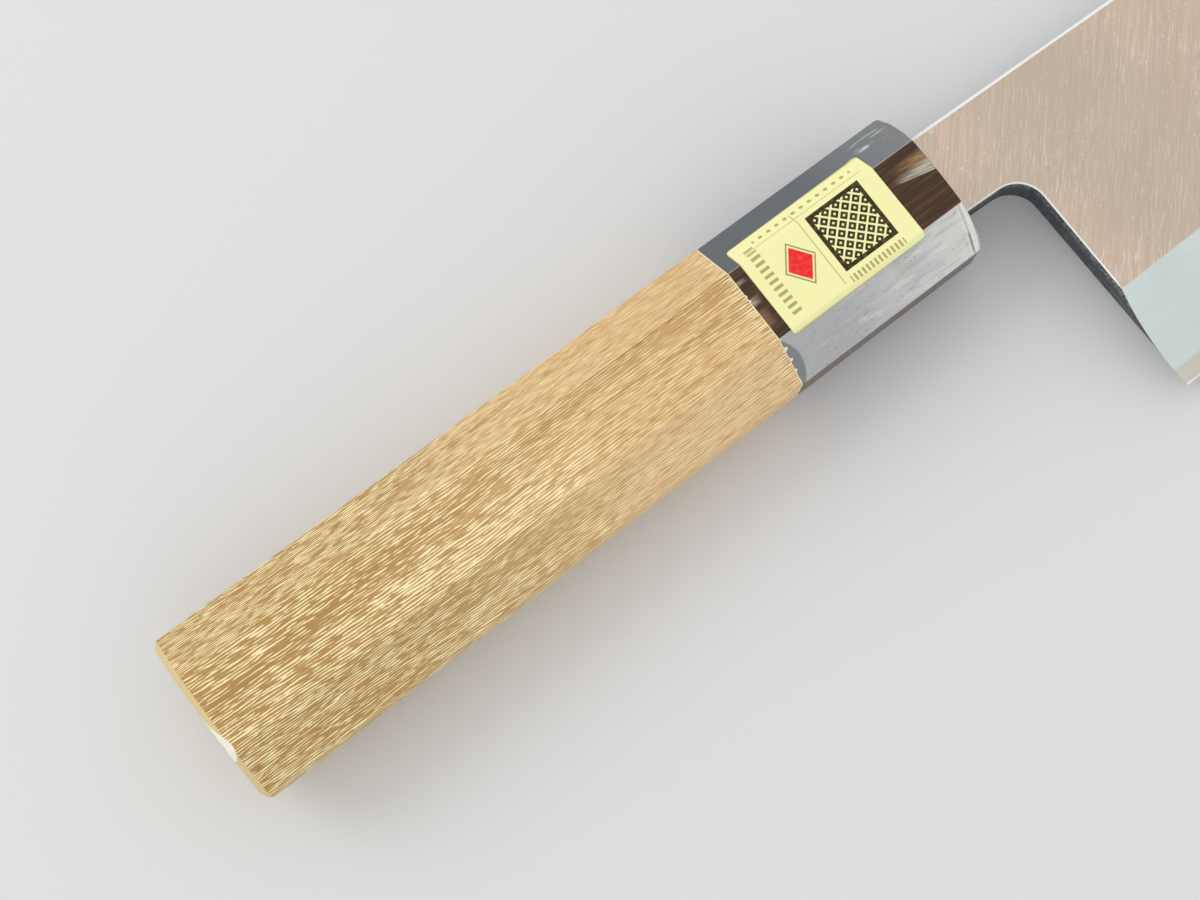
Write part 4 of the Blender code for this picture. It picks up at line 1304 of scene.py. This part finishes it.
def map_label(piece, sizes):
    """The label's own map, in millimetres from its corner by the wood and the edge side."""
    mesh = piece.data
    axes, origin = knife_axes(sizes)
    places = np.zeros(len(mesh.vertices) * 3)
    mesh.vertices.foreach_get("co", places)
    places = (places.reshape(-1, 3) - origin) @ axes
    off_middle = np.abs(places[:, 1])
    past = np.maximum(off_middle - JOINT_CREASE, 0.0) / cos(pi / 4)
    around = np.sign(places[:, 1]) * (np.minimum(off_middle, JOINT_CREASE) + past)
    flat = np.stack((places[:, 0] + sizes.ferrule_length - LABEL_START,
                     around + JOINT_CREASE + LABEL_BELOW), axis=-1) * MILLIMETRES
    corners = np.zeros(len(mesh.loops), np.int32)
    mesh.loops.foreach_get("vertex_index", corners)
    layer = mesh.uv_layers.new(name="label")
    layer.uv.foreach_set("vector", flat[corners].ravel())


def settle(piece, node):
    """The piece rides on the knife and stands for its solid."""
    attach(piece, BODY)
    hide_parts(node)


def dress(scene, name, node, rings_of, finish_of, ring_closed=False):
    """Make a piece that has one finish, and settle it."""
    sizes = scene.knife_sizes
    finish = finish_of(sizes, scene.knife_colours)
    piece = make_piece(name, rings_of(sizes), (finish,), 0, sizes, ring_closed)
    settle(piece, node)
    return piece


class KNIFE_OT_blade(Operator):
    """Make the soft iron and the hard steel of the blade"""

    bl_idname = "knife.make_blade"
    bl_label = "Make blade"

    def execute(self, context):
        sizes = context.scene.knife_sizes
        colours = context.scene.knife_colours
        form = BladeForm(sizes)
        shares = np.linspace(0.0, 1.0, BELLY_POINTS + 1)[1:]
        shares = np.concatenate((shares[:-1], 1 - (1 - shares[-2]) * np.linspace(0.9, 0, 10)))
        flat = flat_finish(sizes, colours)
        bevel = bevel_finish(sizes, colours)
        scale = scale_finish(sizes, colours)
        # The spine, easings and hone: ground steel painted near white as a highlight
        spine, edge, back = (made.paint(paint) for made, paint, _ in (
            ground_steel("iron_ground_and_highlight", sizes, colours.iron_ground_and_highlight, 0.0, 0.40, 0.03, 0.3),
            ground_steel("steel_edge", sizes, colours.steel_edge, 0.0, 0.36, 0.04),
            ground_steel("steel_back", sizes, colours.steel_back, 0.0, 0.26, 0.06)))

        whole = form.rulings(shares)
        meets = whole.weld_reach(whole.weld + WELD_GAP) / np.maximum(whole.width, MERGE)
        end_share = np.interp(1.0 - 1e-9, meets[-len(shares):, 0], shares)
        iron_shares = np.append(shares[shares < end_share - TIP_STATION_GAP], end_share)
        rings, slots = iron_rings(form.rulings(iron_shares), sizes)
        rings[-1] = rings[-1].mean(axis=0)
        slots = np.concatenate((np.full((3, slots.shape[1]), GROUND_AND_HIGHLIGHT), slots))
        iron = make_piece("soft_iron_blade", add_tang(rings), (flat, bevel, scale, spine), slots,
                          sizes)
        settle(iron, "blade_iron")

        rings, slots = steel_rings(whole)
        begin = int(np.argmax(whole.foot[:, 0] >= STEEL_START - MERGE))
        rings[-1] = rings[-1].mean(axis=0)
        steel = make_piece("hard_steel_layer", rings[begin:], (back, edge, scale, spine),
                           slots[begin:], sizes)
        settle(steel, "blade_steel")
        return {"FINISHED"}


class KNIFE_OT_handle(Operator):
    """Carve the octagonal wooden handle"""

    bl_idname = "knife.make_handle"
    bl_label = "Make handle"

    def execute(self, context):
        dress(context.scene, "wooden_handle", "handle_body", handle_rings,
              wood_finish)
        return {"FINISHED"}


class KNIFE_OT_ferrule(Operator):
    """Shape the polished horn ferrule"""

    bl_idname = "knife.make_ferrule"
    bl_label = "Make ferrule"

    def execute(self, context):
        dress(context.scene, "horn_ferrule", "ferrule", ferrule_rings,
              horn_finish, ring_closed=True)
        return {"FINISHED"}


class KNIFE_OT_label(Operator):
    """Stick the paper label over the ferrule's creases"""

    bl_idname = "knife.make_label"
    bl_label = "Make label"

    def execute(self, context):
        label = dress(context.scene, "paper_label", "label", label_rings,
                      paper_finish)
        map_label(label, context.scene.knife_sizes)
        return {"FINISHED"}


FLOOR_SIZE = 6.0
CAMERA_PLACE = (-0.13288, -0.05564, 0.42002)
CAMERA_TURN = (11.1193, 1.6854, -37.3779)
CAMERA_LENS = 80.115
CAMERA_SENSOR = 36.0
SKY_STRENGTH = 0.86
LAMP_PLACE = (-0.55, 0.60, 0.75)
LAMP_SIZE = 0.6
LAMP_WATTS = 2.0


class KNIFE_OT_stage(Operator):
    """Lay the pale floor and set the lamp, the sky and the camera"""

    bl_idname = "knife.make_stage"
    bl_label = "Make stage"

    def execute(self, context):
        scene = context.scene
        half = FLOOR_SIZE / 2
        mesh = bpy.data.meshes.new("floor")
        mesh.from_pydata([(-half, -half, 0), (half, -half, 0), (half, half, 0), (-half, half, 0)],
                         [], [(0, 1, 2, 3)])
        floor = add_object(scene, "floor", mesh)
        plain = bpy.data.materials.new("floor")
        plain.use_nodes = True
        shader = plain.node_tree.nodes["Principled BSDF"]
        shader.inputs["Base Color"].default_value = (*scene.knife_colours.floor, 1.0)
        shader.inputs["Roughness"].default_value = 0.9
        shader.inputs["Specular IOR Level"].default_value = 0.1
        mesh.materials.append(plain)
        lamp = bpy.data.lights.new("key_light", "AREA")
        lamp.shape = "DISK"
        lamp.size = LAMP_SIZE
        lamp.energy = LAMP_WATTS
        toward_knife = -Vector(LAMP_PLACE)
        add_object(scene, "key_light", lamp, LAMP_PLACE,
                   toward_knife.to_track_quat("-Z", "Y").to_euler())
        scene.world = bpy.data.worlds.new("sky")
        scene.world.use_nodes = True
        sky = scene.world.node_tree.nodes["Background"]
        sky.inputs["Color"].default_value = (1.0, 1.0, 1.0, 1.0)
        sky.inputs["Strength"].default_value = SKY_STRENGTH
        camera = bpy.data.cameras.new("camera")
        camera.lens = CAMERA_LENS
        camera.sensor_width = CAMERA_SENSOR
        camera.clip_start = 0.01
        camera.clip_end = 20.0
        scene.camera = add_object(scene, "camera", camera, CAMERA_PLACE,
                                  [radians(turn) for turn in CAMERA_TURN])
        scene.view_settings.view_transform = "Standard"
        return {"FINISHED"}


STEPS = (KNIFE_OT_blade, KNIFE_OT_handle, KNIFE_OT_ferrule, KNIFE_OT_label, KNIFE_OT_stage)


class KNIFE_PT_panel(Panel):
    """Lists the knife's sizes, colours and steps"""

    bl_label = "Deba knife"
    bl_idname = "KNIFE_PT_panel"
    bl_space_type = "VIEW_3D"
    bl_region_type = "UI"
    bl_category = "Knife"

    def draw(self, context):
        scene = context.scene
        for group in (scene.knife_sizes, scene.knife_colours):
            box = self.layout.box()
            for name in group.__annotations__:
                box.prop(group, name)
        for step in STEPS:
            self.layout.operator(step.bl_idname)


CLASSES = (KnifeSizes, KnifeColours, *STEPS, KNIFE_PT_panel)


def register():
    for kind in CLASSES:
        bpy.utils.register_class(kind)
    bpy.types.Scene.knife_sizes = PointerProperty(type=KnifeSizes)
    bpy.types.Scene.knife_colours = PointerProperty(type=KnifeColours)


def unregister():
    del bpy.types.Scene.knife_colours
    del bpy.types.Scene.knife_sizes
    for kind in reversed(CLASSES):
        bpy.utils.unregister_class(kind)


def main():
    """Register the classes and run the steps in order."""
    register()
    bpy.ops.knife.make_blade()
    bpy.ops.knife.make_handle()
    bpy.ops.knife.make_ferrule()
    bpy.ops.knife.make_label()
    bpy.ops.knife.make_stage()


if __name__ == "__main__":
    main()
